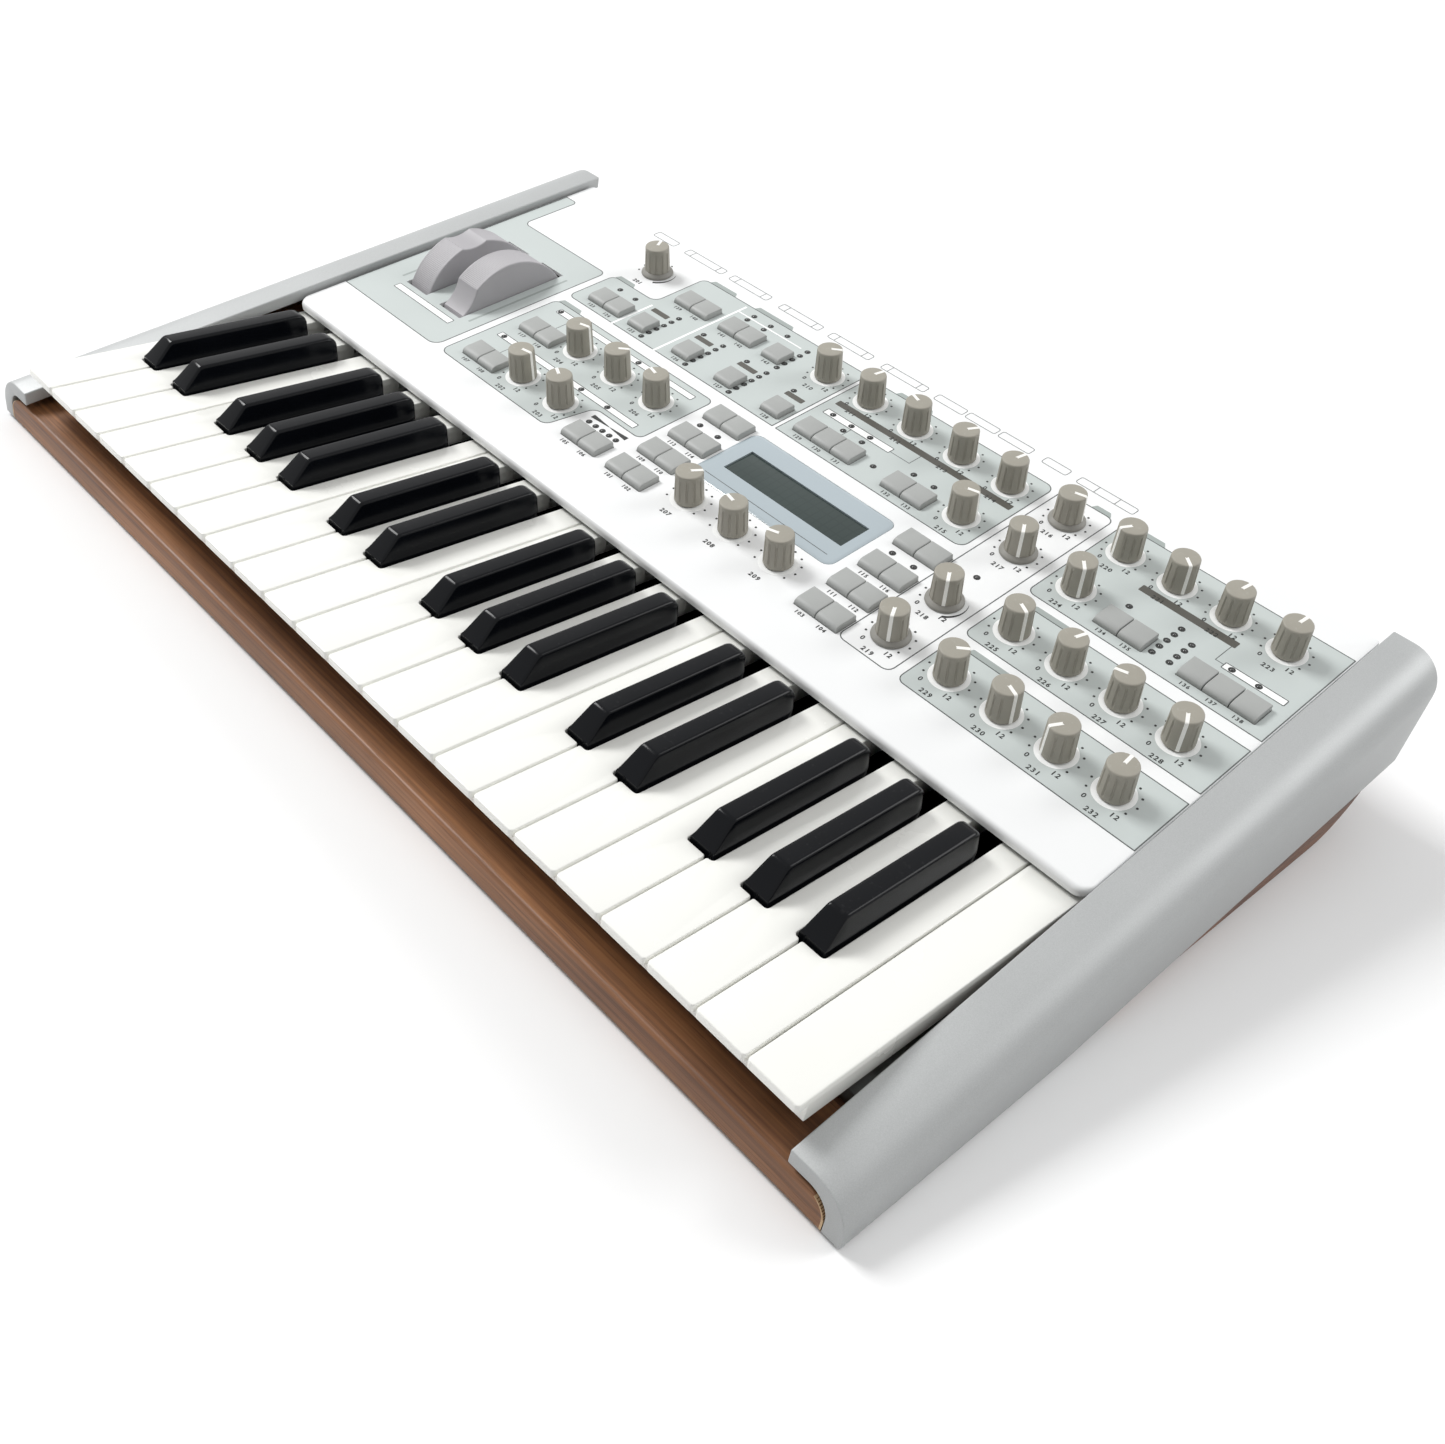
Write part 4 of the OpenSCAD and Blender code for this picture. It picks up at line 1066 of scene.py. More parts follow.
@dataclass
class TopPanel:
    """The white sheet with its rolled front edge, turned-down rear edge and openings."""

    slope: Slope
    openings: Openings
    length: float = 200.5
    sheet: float = 2.0
    corner: float = 6.0
    rear_corner: float = 2.6
    roll: float = 2.2
    roll_len: float = 9.0
    side_roll: float = 0.4
    lip: float = 4.3
    rear_lip: float = 10.0
    rear_zone: float = 0.2
    window_gap: float = 0.2

    def build(self) -> None:
        """Joins an upper and a lower sheet by an edge that follows the outline.

        At an angle a of the roll, the edge is drawn in by roll * (1 - sin a) and lies
        roll * (1 - cos a) below the surface; the roll is full at the front and small at the sides.
        """
        half = span("top_panel")[1][0]
        outline = rounded([(-half, 0), (half, 0), (half, self.length), (-half, self.length)],
                          [self.corner, self.corner, self.rear_corner, self.rear_corner], 12)
        at_front = smooth(1 - outline[:, 1] / self.roll_len)
        at_rear = outline[:, 1] > self.length - self.rear_zone
        roll = self.side_roll + (self.roll - self.side_roll) * at_front
        drop = self.sheet + (self.lip - self.sheet) * at_front
        drop = np.where(at_rear, self.rear_lip, drop)
        rows = [at_height(inset(outline, roll * (1 - math.sin(a))), -roll * (1 - math.cos(a)))
                for a in np.linspace(0, np.pi / 2, 7)]
        rows += [at_height(outline, -drop), at_height(inset(outline, self.sheet), -drop),
                 at_height(inset(outline, self.sheet), -self.sheet)]
        holes = [*self.openings.cap_outlines(), *self.openings.slot_outlines(),
                 self.openings.window_outline(self.window_gap)]
        skin = Surface()
        skin.grid(self.slope.place(np.stack(rows)), wrap=True)
        skin.lid(rows[0][:, :2], holes, 0.0, self.slope.place)
        skin.lid(rows[-1][:, :2], holes, -self.sheet, self.slope.place)
        for hole in holes:
            skin.wall(hole, -self.sheet, 0.0, self.slope.place)
        skin.piece("white_top_panel", CASE, [PANEL_WHITE], "white_panel", ["top_panel"])


class Layer(Enum):
    """Height of a print over the panel in millimetres: each ink lies on the one before it."""

    FIELD = 0.05
    STRIP = 0.08
    BAR = 0.11
    INK = 0.14


@dataclass
class PanelPrint:
    """The panel's screen print: fields, header tabs, label strips, lines, dial marks and plain numbers."""

    slope: Slope
    openings: Openings
    knobs: Sequence["Knob"]
    line: float = 0.5
    strip_line: float = 0.45
    route_line: float = 0.35
    box_line: float = 0.3
    root: float = -0.02
    tab: Pair = (-0.2, 2.9)
    tab_lean: Pair = (1.4, 2.2)
    ring_r: float = 8.9
    dot_at: float = 10.6
    dot_r: float = 0.55
    dot_turns: tuple[float, float, float] = (-120.0, 120.0, 30.0)
    wedge_turns: Pair = (60.0, 145.0)
    wedge_w: Pair = (0.1, 1.2)
    light_r: float = 1.6
    light_room: Pair = (4.5, 2.8)
    number_at: float = 11.9
    number_h: float = 2.5
    cap_number_h: float = 2.1
    cap_number_down: float = 8.7
    knob_number_down: float = 14.2
    digit_step: float = 0.86
    sheets: dict[Layer, Surface] = field(default_factory=dict)
    lines: Surface = field(default_factory=Surface)
    tabs: Surface = field(default_factory=Surface)

    FIELDS = {
        "wheels": ([(-259.4, 29.3), (-177.3, 29.3), (-177.3, 142), (-249.6, 142), (-249.6, 180),
                    (-259.4, 180)], [0.3, 6, 4, 4, 3, 0.3]),
        "effects": ([(-172.6, 29.3), (-86.8, 29.3), (-81.2, 56.4), (-48.7, 56.4), (-48.7, 104.6),
                     (-172.6, 104.6)], [5, 5, 5, 4, 4, 4]),
        "modulation": ([(-172.6, 112), (-15.7, 112), (-15.7, 179.6), (-138.5, 179.6), (-138.5, 143.6),
                        (-172.6, 143.6)], [4, 0.4, 0.4, 4, 5, 4]),
        "oscillators": ([(-13.7, 112), (104.7, 112), (104.7, 178.6), (-13.7, 178.6)], [0.4, 5, 5, 0.4]),
        "filters": ([(141.8, 111.6), (259.4, 111.6), (259.4, 181.3), (141.8, 181.3)], [4, 0.3, 0.3, 4]),
        "filter_envelope": ([(141.6, 70.5), (259.4, 70.5), (259.4, 104.4), (141.6, 104.4)],
                            [4, 0.3, 0.3, 4]),
        "amp_envelope": ([(141.6, 29.2), (259.4, 29.2), (259.4, 63.5), (141.6, 63.5)], [4, 0.3, 0.3, 4]),
    }
    MIXER = ((108.0, 137.4), (29.5, 180.2), 4.0)
    TABS = [(-171, -158, 143.6), (-134, -116, 179.6), (-99, -72.6, 179.6), (-171, -155.6, 104.6),
            (4, 26, 178.6), (124, 133, 180.2), (150, 162, 181.3), (150, 172, 104.4), (150, 176, 63.5)]
    STRIPS = [(-165.5, -57.3, 59.4, 63.7), (-163.6, -57.3, 96.3, 100.6), (-8.5, 35.5, 139.0, 143.8),
              (224.2, 254.2, 135.2, 139.6), (-239.4, -190.1, 46.3, 50.9)]
    DIVIDERS = [(-136.9, -135.5, 111.4, 140.0), (-103.5, -102.1, 111.4, 177.3),
                (-101.9, -55.3, 170.6, 171.5)]
    BARS = [(-133.1, -121.0, 135.9, 139.3), (-98.7, -86.8, 135.9, 139.3), (-66.5, -53.9, 135.9, 139.3),
            (-32.1, -20.1, 135.9, 139.3), (-9.4, 101.0, 148.9, 153.0), (172.8, 221.8, 149.2, 153.6)]
    REAR_BOXES = [(-193.5, -176.0), (-167.5, -136.6), (-131.0, -101.0), (-92.2, -62.0), (-55.3, -25.7),
                  (-17.5, 12.0), (18.5, 37.5), (39.0, 58.3), (59.9, 79.5), (86.8, 101.6), (107.3, 140.1)]
    REAR_V = (189.6, 195.2)
    REAR_CELLS = [-162.5, -141.6, -126.0, -106.0, -87.2, -67.0, -50.3, -30.7, -12.5, 7.0, 117.8, 129.7]
    ROUTES = [
        [(-150.6, 49.2), (-150.6, 59.4)],
        [(-150.6, 84.4), (-150.6, 96.3)],
        [(220.3, 149.4), (220.3, 137.6), (224.2, 137.6)],
        [(35.5, 140.6), (47.5, 140.6), (47.5, 149.2)],
        [(11.1, 130.4), (11.1, 139.0)],
    ]
    WEDGES = [[(-77.5, 50.4), (-65.2, 51.6), (-65.2, 51.9), (-77.5, 53.0)],
              [(-64.8, 51.6), (-52.5, 50.4), (-52.5, 53.0), (-64.8, 51.9)]]
    WHEEL_BARS = [(-245.6, -244.2, 56.0, 121.0), (-185.6, -184.2, 56.0, 121.0)]
    TAB_RADII = (0.2, 0.5, 0.8, 0.8)
    THIN_R = 0.3
    STRIP_R = 0.7
    BAR_R = 0.5
    BOX_R = 1.4
    CELL_MARGIN = 0.4
    END_NUMBERS = (("0", -145.0), ("12", 143.0))
    FIRST_CAP_NUMBER = 101
    FIRST_KNOB_NUMBER = 201
    SKIRTED = ("volume_knob", "osc_balance_knob", "sub_volume_knob", "osc_volume_knob", "noise_volume_knob")
    UNNUMBERED = ("volume_knob", "value_knob_1", "value_knob_2", "value_knob_3")
    WEDGED = ("volume_knob", "osc_volume_knob")

    def sheet(self, layer: Layer) -> Surface:
        """Gives the surface that a layer's prints are gathered in."""
        return self.sheets.setdefault(layer, Surface())

    def ink(self, outline: Array, layer: Layer, onto: Surface | None = None) -> None:
        """Prints a filled outline on a layer, or in another ink at that layer's height."""
        target = onto if onto is not None else self.sheet(layer)
        target.prism(outline, self.root, layer.value, self.slope.place)

    def bar(self, box: Sequence[float], radius: float, layer: Layer, onto: Surface | None = None) -> None:
        """Prints a filled bar with round corners from its left, right, low and high sides."""
        self.ink(box_outline(box[:2], box[2:], radius), layer, onto)

    def frame_line(self, outline: Array, width: float | None = None, layer: Layer = Layer.STRIP) -> None:
        """Prints a closed line along an outline: the ring between the outline and itself drawn in.

        Args:
            outline: The line's outer edge.
            width: Its width, or None for the usual one.
            layer: The layer whose height it takes.
        """
        inner = inset(outline, width or self.line)
        rows = [at_height(outline, self.root), at_height(outline, layer.value),
                at_height(inner, layer.value), at_height(inner, self.root)]
        self.lines.hoop(self.slope.place(np.stack(rows)))

    def route(self, points: Sequence, width: float | None = None) -> None:
        """Prints an open line of straight stretches, each a thin bar.

        Args:
            points: The line's corners and ends.
            width: Its width, or None for the usual one.
        """
        half = (width or self.line) / 2
        for start, end in zip(points[:-1], points[1:]):
            a, b = np.minimum(start, end) - half, np.maximum(start, end) + half
            self.ink(box_outline((a[0], b[0]), (a[1], b[1]), half / 2), Layer.STRIP, self.lines)

    def print_fields(self) -> None:
        """Prints the pale fields, their outlines and their header tabs."""
        holes = [*self.openings.cap_outlines(), *self.openings.slot_outlines()]
        for corners, radii in self.FIELDS.values():
            outline = rounded(corners, radii, 6)
            inside = [hole for hole in holes if within(outline, hole.mean(0)[None])[0]]
            self.sheet(Layer.FIELD).plate(outline, inside, self.root, Layer.FIELD.value, self.slope.place)
            self.frame_line(outline)
        self.frame_line(box_outline(*self.MIXER))
        lean_left, lean_right = self.tab_lean
        for left, right, v in self.TABS:
            low, high = v + self.tab[0], v + self.tab[1]
            corners = [(left, low), (right + lean_right, low), (right, high), (left + lean_left, high)]
            self.ink(rounded(corners, self.TAB_RADII, 3), Layer.FIELD, self.tabs)
        for box in self.WHEEL_BARS:
            self.bar(box, self.THIN_R, Layer.STRIP, self.tabs)

    def print_labels(self) -> None:
        """Prints the white strips, white dividers, dark bars, connecting lines and rear boxes."""
        for box in self.STRIPS:
            self.bar(box, self.STRIP_R, Layer.STRIP)
            self.frame_line(box_outline(box[:2], box[2:], self.STRIP_R), self.strip_line, Layer.BAR)
        for box in self.DIVIDERS:
            self.bar(box, self.THIN_R, Layer.BAR, self.sheet(Layer.STRIP))
        for box in self.BARS:
            self.bar(box, self.BAR_R, Layer.BAR)
        for points in self.ROUTES:
            self.route(points, self.route_line)
        for corners in self.WEDGES:
            self.ink(np.array(corners), Layer.INK)
        for sides in self.REAR_BOXES:
            self.frame_line(box_outline(sides, self.REAR_V, self.BOX_R), self.box_line)
        low, high = self.REAR_V[0] + self.CELL_MARGIN, self.REAR_V[1] - self.CELL_MARGIN
        for u in self.REAR_CELLS:
            self.route([(u, low), (u, high)], self.box_line)

    def print_dials(self) -> None:
        """Prints a white ring, tick dots and end numbers round each knob.

        A skirted knob has no ring, and a wedged one has dots only where its wedge leaves room.
        """
        first, last, step = self.dot_turns
        for knob in self.knobs:
            centre = np.array(knob.at)
            wedged = knob.name in self.WEDGED
            if knob.name not in self.SKIRTED:
                self.ink(circle(centre, self.ring_r, 48), Layer.STRIP)
            for turn in np.arange(first, last + 1, step):
                if not wedged or turn < step:
                    self.ink(circle(centre + self.dot_at * dial_way(turn), self.dot_r, 10), Layer.INK)
            if wedged:
                self.print_wedge(centre)
            if knob.name not in self.UNNUMBERED:
                for text, turn in self.END_NUMBERS:
                    self.number(text, centre + self.number_at * dial_way(turn), self.number_h)

    def print_wedge(self, centre: Array) -> None:
        """Prints a rising wedge beside a level knob: an arc whose width grows with its angle.

        Args:
            centre: The knob's place.
        """
        way = dial_way(np.linspace(*self.wedge_turns, 20))
        half = np.linspace(*self.wedge_w, len(way))[:, None] / 2
        outer, inner = centre + (self.dot_at + half) * way, centre + (self.dot_at - half) * way
        self.ink(np.concatenate([outer[::-1], inner]), Layer.INK)

    def print_lights(self) -> None:
        """Prints a black disc under each status light."""
        for place in self.slope.islands("status_leds"):
            self.ink(circle(place, self.light_r, 24), Layer.INK)

    def print_numbers(self) -> None:
        """Prints a plain reference number in front of each knob and of each cap that no light crowds."""
        caps = np.concatenate(self.openings.rows()) - (0.0, self.cap_number_down)
        lights = self.slope.islands("status_leds")
        for number, place in enumerate(caps, self.FIRST_CAP_NUMBER):
            if (np.abs(lights - place) > self.light_room).any(1).all():
                self.number(str(number), place, self.cap_number_h)
        for number, knob in enumerate(self.knobs, self.FIRST_KNOB_NUMBER):
            self.number(str(number), np.array(knob.at) - (0.0, self.knob_number_down), self.number_h)

    def number(self, text: str, centre: Array, height: float) -> None:
        """Prints a number with its middle at a place.

        Args:
            text: Its digits.
            centre: The place on the panel.
            height: Height of a digit.
        """
        sheet = self.sheet(Layer.INK)
        for order, digit in enumerate(text):
            points, faces = digit_shape(digit)
            shift = (order - (len(text) - 1) / 2) * self.digit_step * height
            flat = points[:, :2] * height + np.array(centre) + (shift, 0.0)
            level = np.where(points[:, 2] > 0, Layer.INK.value, self.root)
            rows = [[sheet.count + corner for corner in face] for face in faces]
            sheet.gather(self.slope.place(at_height(flat, level)), rows)

    def build(self) -> None:
        """Prints everything and makes one piece of each ink."""
        self.print_fields()
        self.print_labels()
        self.print_dials()
        self.print_lights()
        self.print_numbers()
        inks = {Layer.FIELD: FIELD_INK, Layer.STRIP: STRIP_INK, Layer.BAR: BAR_INK, Layer.INK: DARK_INK}
        for layer, finish in inks.items():
            self.sheets[layer].piece("print_" + layer.name.lower(), CASE, [finish], "white_panel")
        self.lines.piece("print_lines", CASE, [LINE_INK], "white_panel")
        self.tabs.piece("print_tabs", CASE, [TAB_INK], "white_panel")


def dial_way(turn: object) -> Array:
    """Gives the direction on the panel at angles in degrees from straight up, clockwise."""
    angle = np.radians(turn)
    return np.stack([np.sin(angle), np.cos(angle)], -1)


@cache
def digit_shape(digit: str) -> tuple[Array, list[list[int]]]:
    """Gives one digit as a thin closed solid, one unit high, with its middle at the origin.

    Args:
        digit: A figure from 0 to 9.

    Returns:
        Its points, with the third coordinate above zero on its face, and its faces.
    """
    thickness, weight = 0.1, 0.018
    curve = bpy.data.curves.new("digit", "FONT")
    curve.body = digit
    curve.extrude = thickness
    curve.offset = weight
    curve.resolution_u = 3
    holder = linked("digit", curve)
    mesh = holder.evaluated_get(bpy.context.evaluated_depsgraph_get()).to_mesh()
    points = mesh_points(mesh)
    faces = [list(face.vertices) for face in mesh.polygons]
    bpy.data.objects.remove(holder)
    bpy.data.curves.remove(curve)
    low, high = points.min(0), points.max(0)
    points[:, :2] = (points[:, :2] - (low[:2] + high[:2]) / 2) / (high[1] - low[1])
    return points, faces


@dataclass
class Display:
    """The display: a pale plate with a soft edge, a shallow opening, and the dark screen in it."""

    slope: Slope
    openings: Openings
    proud: float = 0.35
    bevel: float = 1.4
    crown: Pair = (0.3, 0.02)
    screen_u: Pair = (-6.6, 69.4)
    screen_v: Pair = (72.0, 90.5)
    screen_r: float = 0.4
    screen_gap: float = 0.12
    screen_edge: float = 0.25
    line_u: Pair = (-10.0, 69.5)
    line_v: Pair = (63.2, 63.6)
    line_r: float = 0.1
    line_proud: float = 0.02
    depth: float = 0.7
    sheet: float = 2.0

    RIM = ((0.0, 0.03), (0.12, 0.1))

    def build(self) -> None:
        """Builds the plate, with a bevel at its rim, and the screen on the floor of its opening."""
        outline = self.openings.window_outline()
        screen = box_outline(self.screen_u, self.screen_v, self.screen_r)
        run, drop = self.crown
        steps = [(0.0, -self.sheet), *self.RIM, (self.bevel, self.proud - drop),
                 (self.bevel + run, self.proud)]
        rows = [at_height(inset(outline, inward), height) for inward, height in steps]
        plate = Surface()
        plate.grid(self.slope.place(np.stack(rows)), wrap=True)
        plate.lid(rows[-1][:, :2], [screen], self.proud, self.slope.place)
        plate.lid(outline, [screen], -self.sheet, self.slope.place)
        plate.wall(screen, -self.sheet, self.proud, self.slope.place)
        line = box_outline(self.line_u, self.line_v, self.line_r)
        plate.prism(line, 0.0, self.proud + self.line_proud, self.slope.place, 1)
        plate.piece("display_plate", CASE, [WINDOW, LINE_INK], "window", ["display_window"])
        glass = Surface()
        glass.soft_prism(inset(screen, self.screen_gap), -self.sheet, self.proud - self.depth,
                         self.screen_edge, self.slope.place)
        glass.piece("display_screen", CASE, [LCD], "lcd")


@dataclass
class StatusLights:
    """The small round lights: a short barrel with a domed lens on each."""

    slope: Slope
    radius: float = 0.75
    dome: float = 0.5
    dome_turn: float = 0.46 * math.pi
    lift: float = 0.05
    barrel: float = 3.0
    sides: int = 12

    def build(self) -> None:
        """Turns a dome about each light's axis: radius * cos a wide at dome * sin a high."""
        rise = np.linspace(0, self.dome_turn, 4)
        dome = np.stack([self.radius * np.cos(rise), self.lift + self.dome * np.sin(rise)], -1)
        shape = revolved([(self.radius, -self.barrel), *dome], self.sides).swapaxes(0, 1)
        skin = Surface()
        for u, v in self.slope.islands("status_leds"):
            skin.loft(self.slope.place(shape + (u, v, 0.0)))
        skin.piece("status_lenses", CASE, [LENS], "led_lens", ["status_leds"])


# Controls

@dataclass
class Knob:
    """A turning knob: a tapered grip with shallow grooves and a white pointer over its top and side."""

    name: str
    at: Pair
    pointer: float
    slope: Slope
    skirted: bool
    foot_r: float = 6.9
    top_r: float = 6.4
    lift: float = 0.6
    height: float = 16.0
    edge: float = 0.8
    foot_edge: float = 0.4
    pole_r: float = 0.6
    dish: float = 0.05
    skirt_r: float = 8.8
    skirt_h: float = 2.6
    skirt_rim: float = 1.3
    skirt_bore: float = 5.0
    skirt_gap: float = 0.15
    skirt_lean: float = 0.3
    skirt_room: float = 0.1
    skirt_radii: tuple[float, ...] = (0.05, 0.3, 0.6, 0.5, 0.05)
    groove: float = 0.5
    groove_w: float = 0.58
    grooves: int = 10
    groove_first: float = 45.0
    groove_step: float = 30.0
    groove_margin: Pair = (1.4, 1.9)
    groove_fade: float = 0.8
    pointer_w: float = 0.78
    pointer_start: float = 0.9
    pointer_proud: Pair = (0.05, 0.07)
    pointer_sunk: float = 0.3

    @classmethod
    def from_frame(cls, slope: Slope) -> list["Knob"]:
        """Finds every knob by its joint: the axis gives its place, the middle of its range its pointer.

        Args:
            slope: The panel's plane.

        Returns:
            The knobs in the record's order.
        """
        made = []
        for j in frame["joints"]:
            if j["child"].endswith("_knob") or j["child"].startswith("value_knob"):
                u, v, _ = slope.local(np.array(j["pos_m"]) / MM)
                pointer = -sum(j["range_deg"]) / 2
                made.append(cls(j["child"], (u, v), pointer, slope, j["child"] in PanelPrint.SKIRTED))
        return made

    def profile(self) -> Array:
        """Gives half the side view as two arcs: the edge of the foot and the edge of the top.

        Returns:
            Radius and height of each point, with as many on either arc, (points, 2).
        """
        corners = [(0, self.lift), (self.foot_r, self.lift), (self.top_r, self.height), (0, self.height)]
        arc = 6
        return rounded(corners, [0.0, self.foot_edge, self.edge, 0.0], arc - 1)[arc:3 * arc]

    def side(self, rows: int = 14) -> Array:
        """Gives the side view with more rows on the straight flank between its arcs.

        Args:
            rows: Rows from one arc to the other.

        Returns:
            Radius and height of each point, (points, 2).
        """
        foot, top = np.split(self.profile(), 2)
        return np.concatenate([foot, np.linspace(foot[-1], top[0], rows)[1:-1], top])

    def place(self, points: Array) -> Array:
        """Turns points to the pointer's angle and stands them on the panel at the knob's place.

        Args:
            points: Points about the knob's axis, in an array of any shape.

        Returns:
            The points in the case.
        """
        x, y, z = np.moveaxis(points, -1, 0)
        c, s = math.cos(math.radians(self.pointer)), math.sin(math.radians(self.pointer))
        return self.slope.place(np.stack([self.at[0] + x * c + y * s, self.at[1] - x * s + y * c, z], -1))

    def grip(self) -> Array:
        """Turns the side view about the axis and presses the grooves in.

        A groove is groove * (1 - d squared) deep at d groove widths from its middle, and fades out
        above the foot and below the top. The grooves are one step apart, and none is nearer to the
        pointer than the first.

        Returns:
            The grip's rings, from the foot to the top, (rings, points, 3).
        """
        foot, top = (self.pole_r, self.lift), (self.pole_r, self.height - self.dish)
        r, z = np.concatenate([[foot], self.side(), [top]]).T
        centres = np.radians(self.groove_first + self.groove_step * np.arange(self.grooves))
        width = self.groove_w / self.top_r
        between, beside_pointer = [0.27], np.linspace(-0.6, 0.6, 5)
        steps = np.concatenate([np.linspace(-1, 1, 7) * width, between])
        turn = np.sort(np.concatenate([(centres[:, None] + steps).ravel(), beside_pointer]))
        away = np.abs((turn[:, None] - centres + np.pi) % (2 * np.pi) - np.pi).min(1) / width
        dip = self.groove * np.clip(1 - away ** 2, 0, 1)
        low, high = self.lift + self.groove_margin[0], self.height - self.groove_margin[1]
        fade = smooth((z - low) / self.groove_fade) * smooth((high - z) / self.groove_fade)
        radius = r[:, None] - fade[:, None] * dip
        return np.stack([radius * np.sin(turn), radius * np.cos(turn),
                         np.broadcast_to(z[:, None], radius.shape)], -1)

    def stripe(self) -> Array:
        """Lays the pointer along the side view, a hair proud and sunk below, as rings across its width.

        A point that lies x across the pointer, at a distance r from the axis, stands at the root of
        r squared less x squared.

        Returns:
            The rings from the top's middle to the foot, (rings, 7, 3).
        """
        below = 3
        outline = self.side()[below:][::-1]
        inward = np.linspace(self.pointer_start, outline[0, 0], 5)[:-1]
        path = np.concatenate([np.stack([inward, np.full_like(inward, self.height)], -1), outline])
        along = np.gradient(path, axis=0)
        along /= np.linalg.norm(along, axis=1, keepdims=True)
        out = np.stack([-along[:, 1], along[:, 0]], -1)
        out *= np.sign(out.sum(1, keepdims=True))
        across = self.pointer_w * np.array([-1.0, -1.0, -0.5, 0.0, 0.5, 1.0, 1.0])
        edge, middle = self.pointer_proud
        lift = np.array([-self.pointer_sunk, edge, middle, middle, middle, edge, -self.pointer_sunk])
        points = path[:, None] + lift[:, None] * out[:, None]
        y = np.sqrt(np.maximum(points[..., 0] ** 2 - across ** 2, 0.0))
        return np.stack([np.broadcast_to(across, y.shape), y, points[..., 1]], -1)

    def build(self) -> None:
        """Builds the grip, its pointer and, where it has one, the skirt round its foot."""
        skin = Surface()
        skin.loft(self.place(self.grip()))
        skin.loft(self.place(self.stripe()), 1)
        if self.skirted:
            corners = [(self.skirt_bore, self.skirt_gap), (self.skirt_r, self.skirt_gap),
                       (self.skirt_r - self.skirt_lean, self.skirt_rim),
                       (self.foot_r + self.skirt_room, self.skirt_h), (self.skirt_bore, self.skirt_h)]
            skirt = rounded(corners, self.skirt_radii, 5)
            skin.hoop(self.place(revolved(skirt, 64)), 2)
        skin.piece(self.name + "_grip", self.name, [KNOB_GREY, POINTER_WHITE, SKIRT_GREY], "knob_plastic",
                   [self.name])


@dataclass
class ButtonCaps:
    """The button caps: flat tops that fall to the front in a long round, with small rounds elsewhere."""

    slope: Slope
    width: float = 12.1
    depth: float = 12.0
    height: float = 3.0
    fall: float = 2.0
    run: float = 3.4
    edge: float = 0.45
    root: float = -2.0
    beyond: float = 99.0

    def shape(self) -> Array:
        """Gives one cap as a grid of its top and walls.

        Up the slope, the front is a quarter ellipse of run by fall, the top is level and the rear is a
        quarter circle; across it, the height drops by a quarter circle at each side.

        Returns:
            The grid, (rows up the slope, columns across it, 3).
        """
        turn = np.linspace(0, np.pi / 2, 8)
        front = np.stack([-self.depth / 2 + self.run * (1 - np.cos(turn)),
                          self.height - self.fall * (1 - np.sin(turn))], -1)
        back = np.stack([self.depth / 2 - self.edge * (1 - np.cos(turn[::-2])),
                         self.height - self.edge * (1 - np.sin(turn[::-2]))], -1)
        side = np.concatenate([[(-self.depth / 2, self.root)], front, back, [(self.depth / 2, self.root)]])
        bend = np.linspace(0, np.pi / 2, 4)
        drop = self.edge * (1 - np.sin(bend))
        inward = self.edge * (1 - np.cos(bend))
        left = np.array([0.0, *inward]) - self.width / 2
        x = np.concatenate([left, -left[::-1]])
        down = np.array([self.beyond, *drop, *drop[::-1], self.beyond])
        z = np.maximum(side[:, 1, None] - down, self.root)
        return np.stack([np.broadcast_to(x, z.shape), np.broadcast_to(side[:, :1], z.shape), z], -1)

    def build(self) -> None:
        """Sets a cap at each place where the frame has one, closed below by its own border."""
        shape = self.shape()
        border = np.concatenate([shape[0], shape[1:, -1], shape[-1, -2::-1], shape[-2:0:-1, 0]])
        skin = Surface()
        for u, v in self.slope.islands("panel_buttons"):
            skin.grid(self.slope.place(shape + (u, v, 0.0)))
            skin.add(self.slope.place(border + (u, v, 0.0)), [np.arange(len(border))])
        skin.piece("button_caps", "panel_buttons", [CAP_GREY], "cap_plastic", ["panel_buttons"])


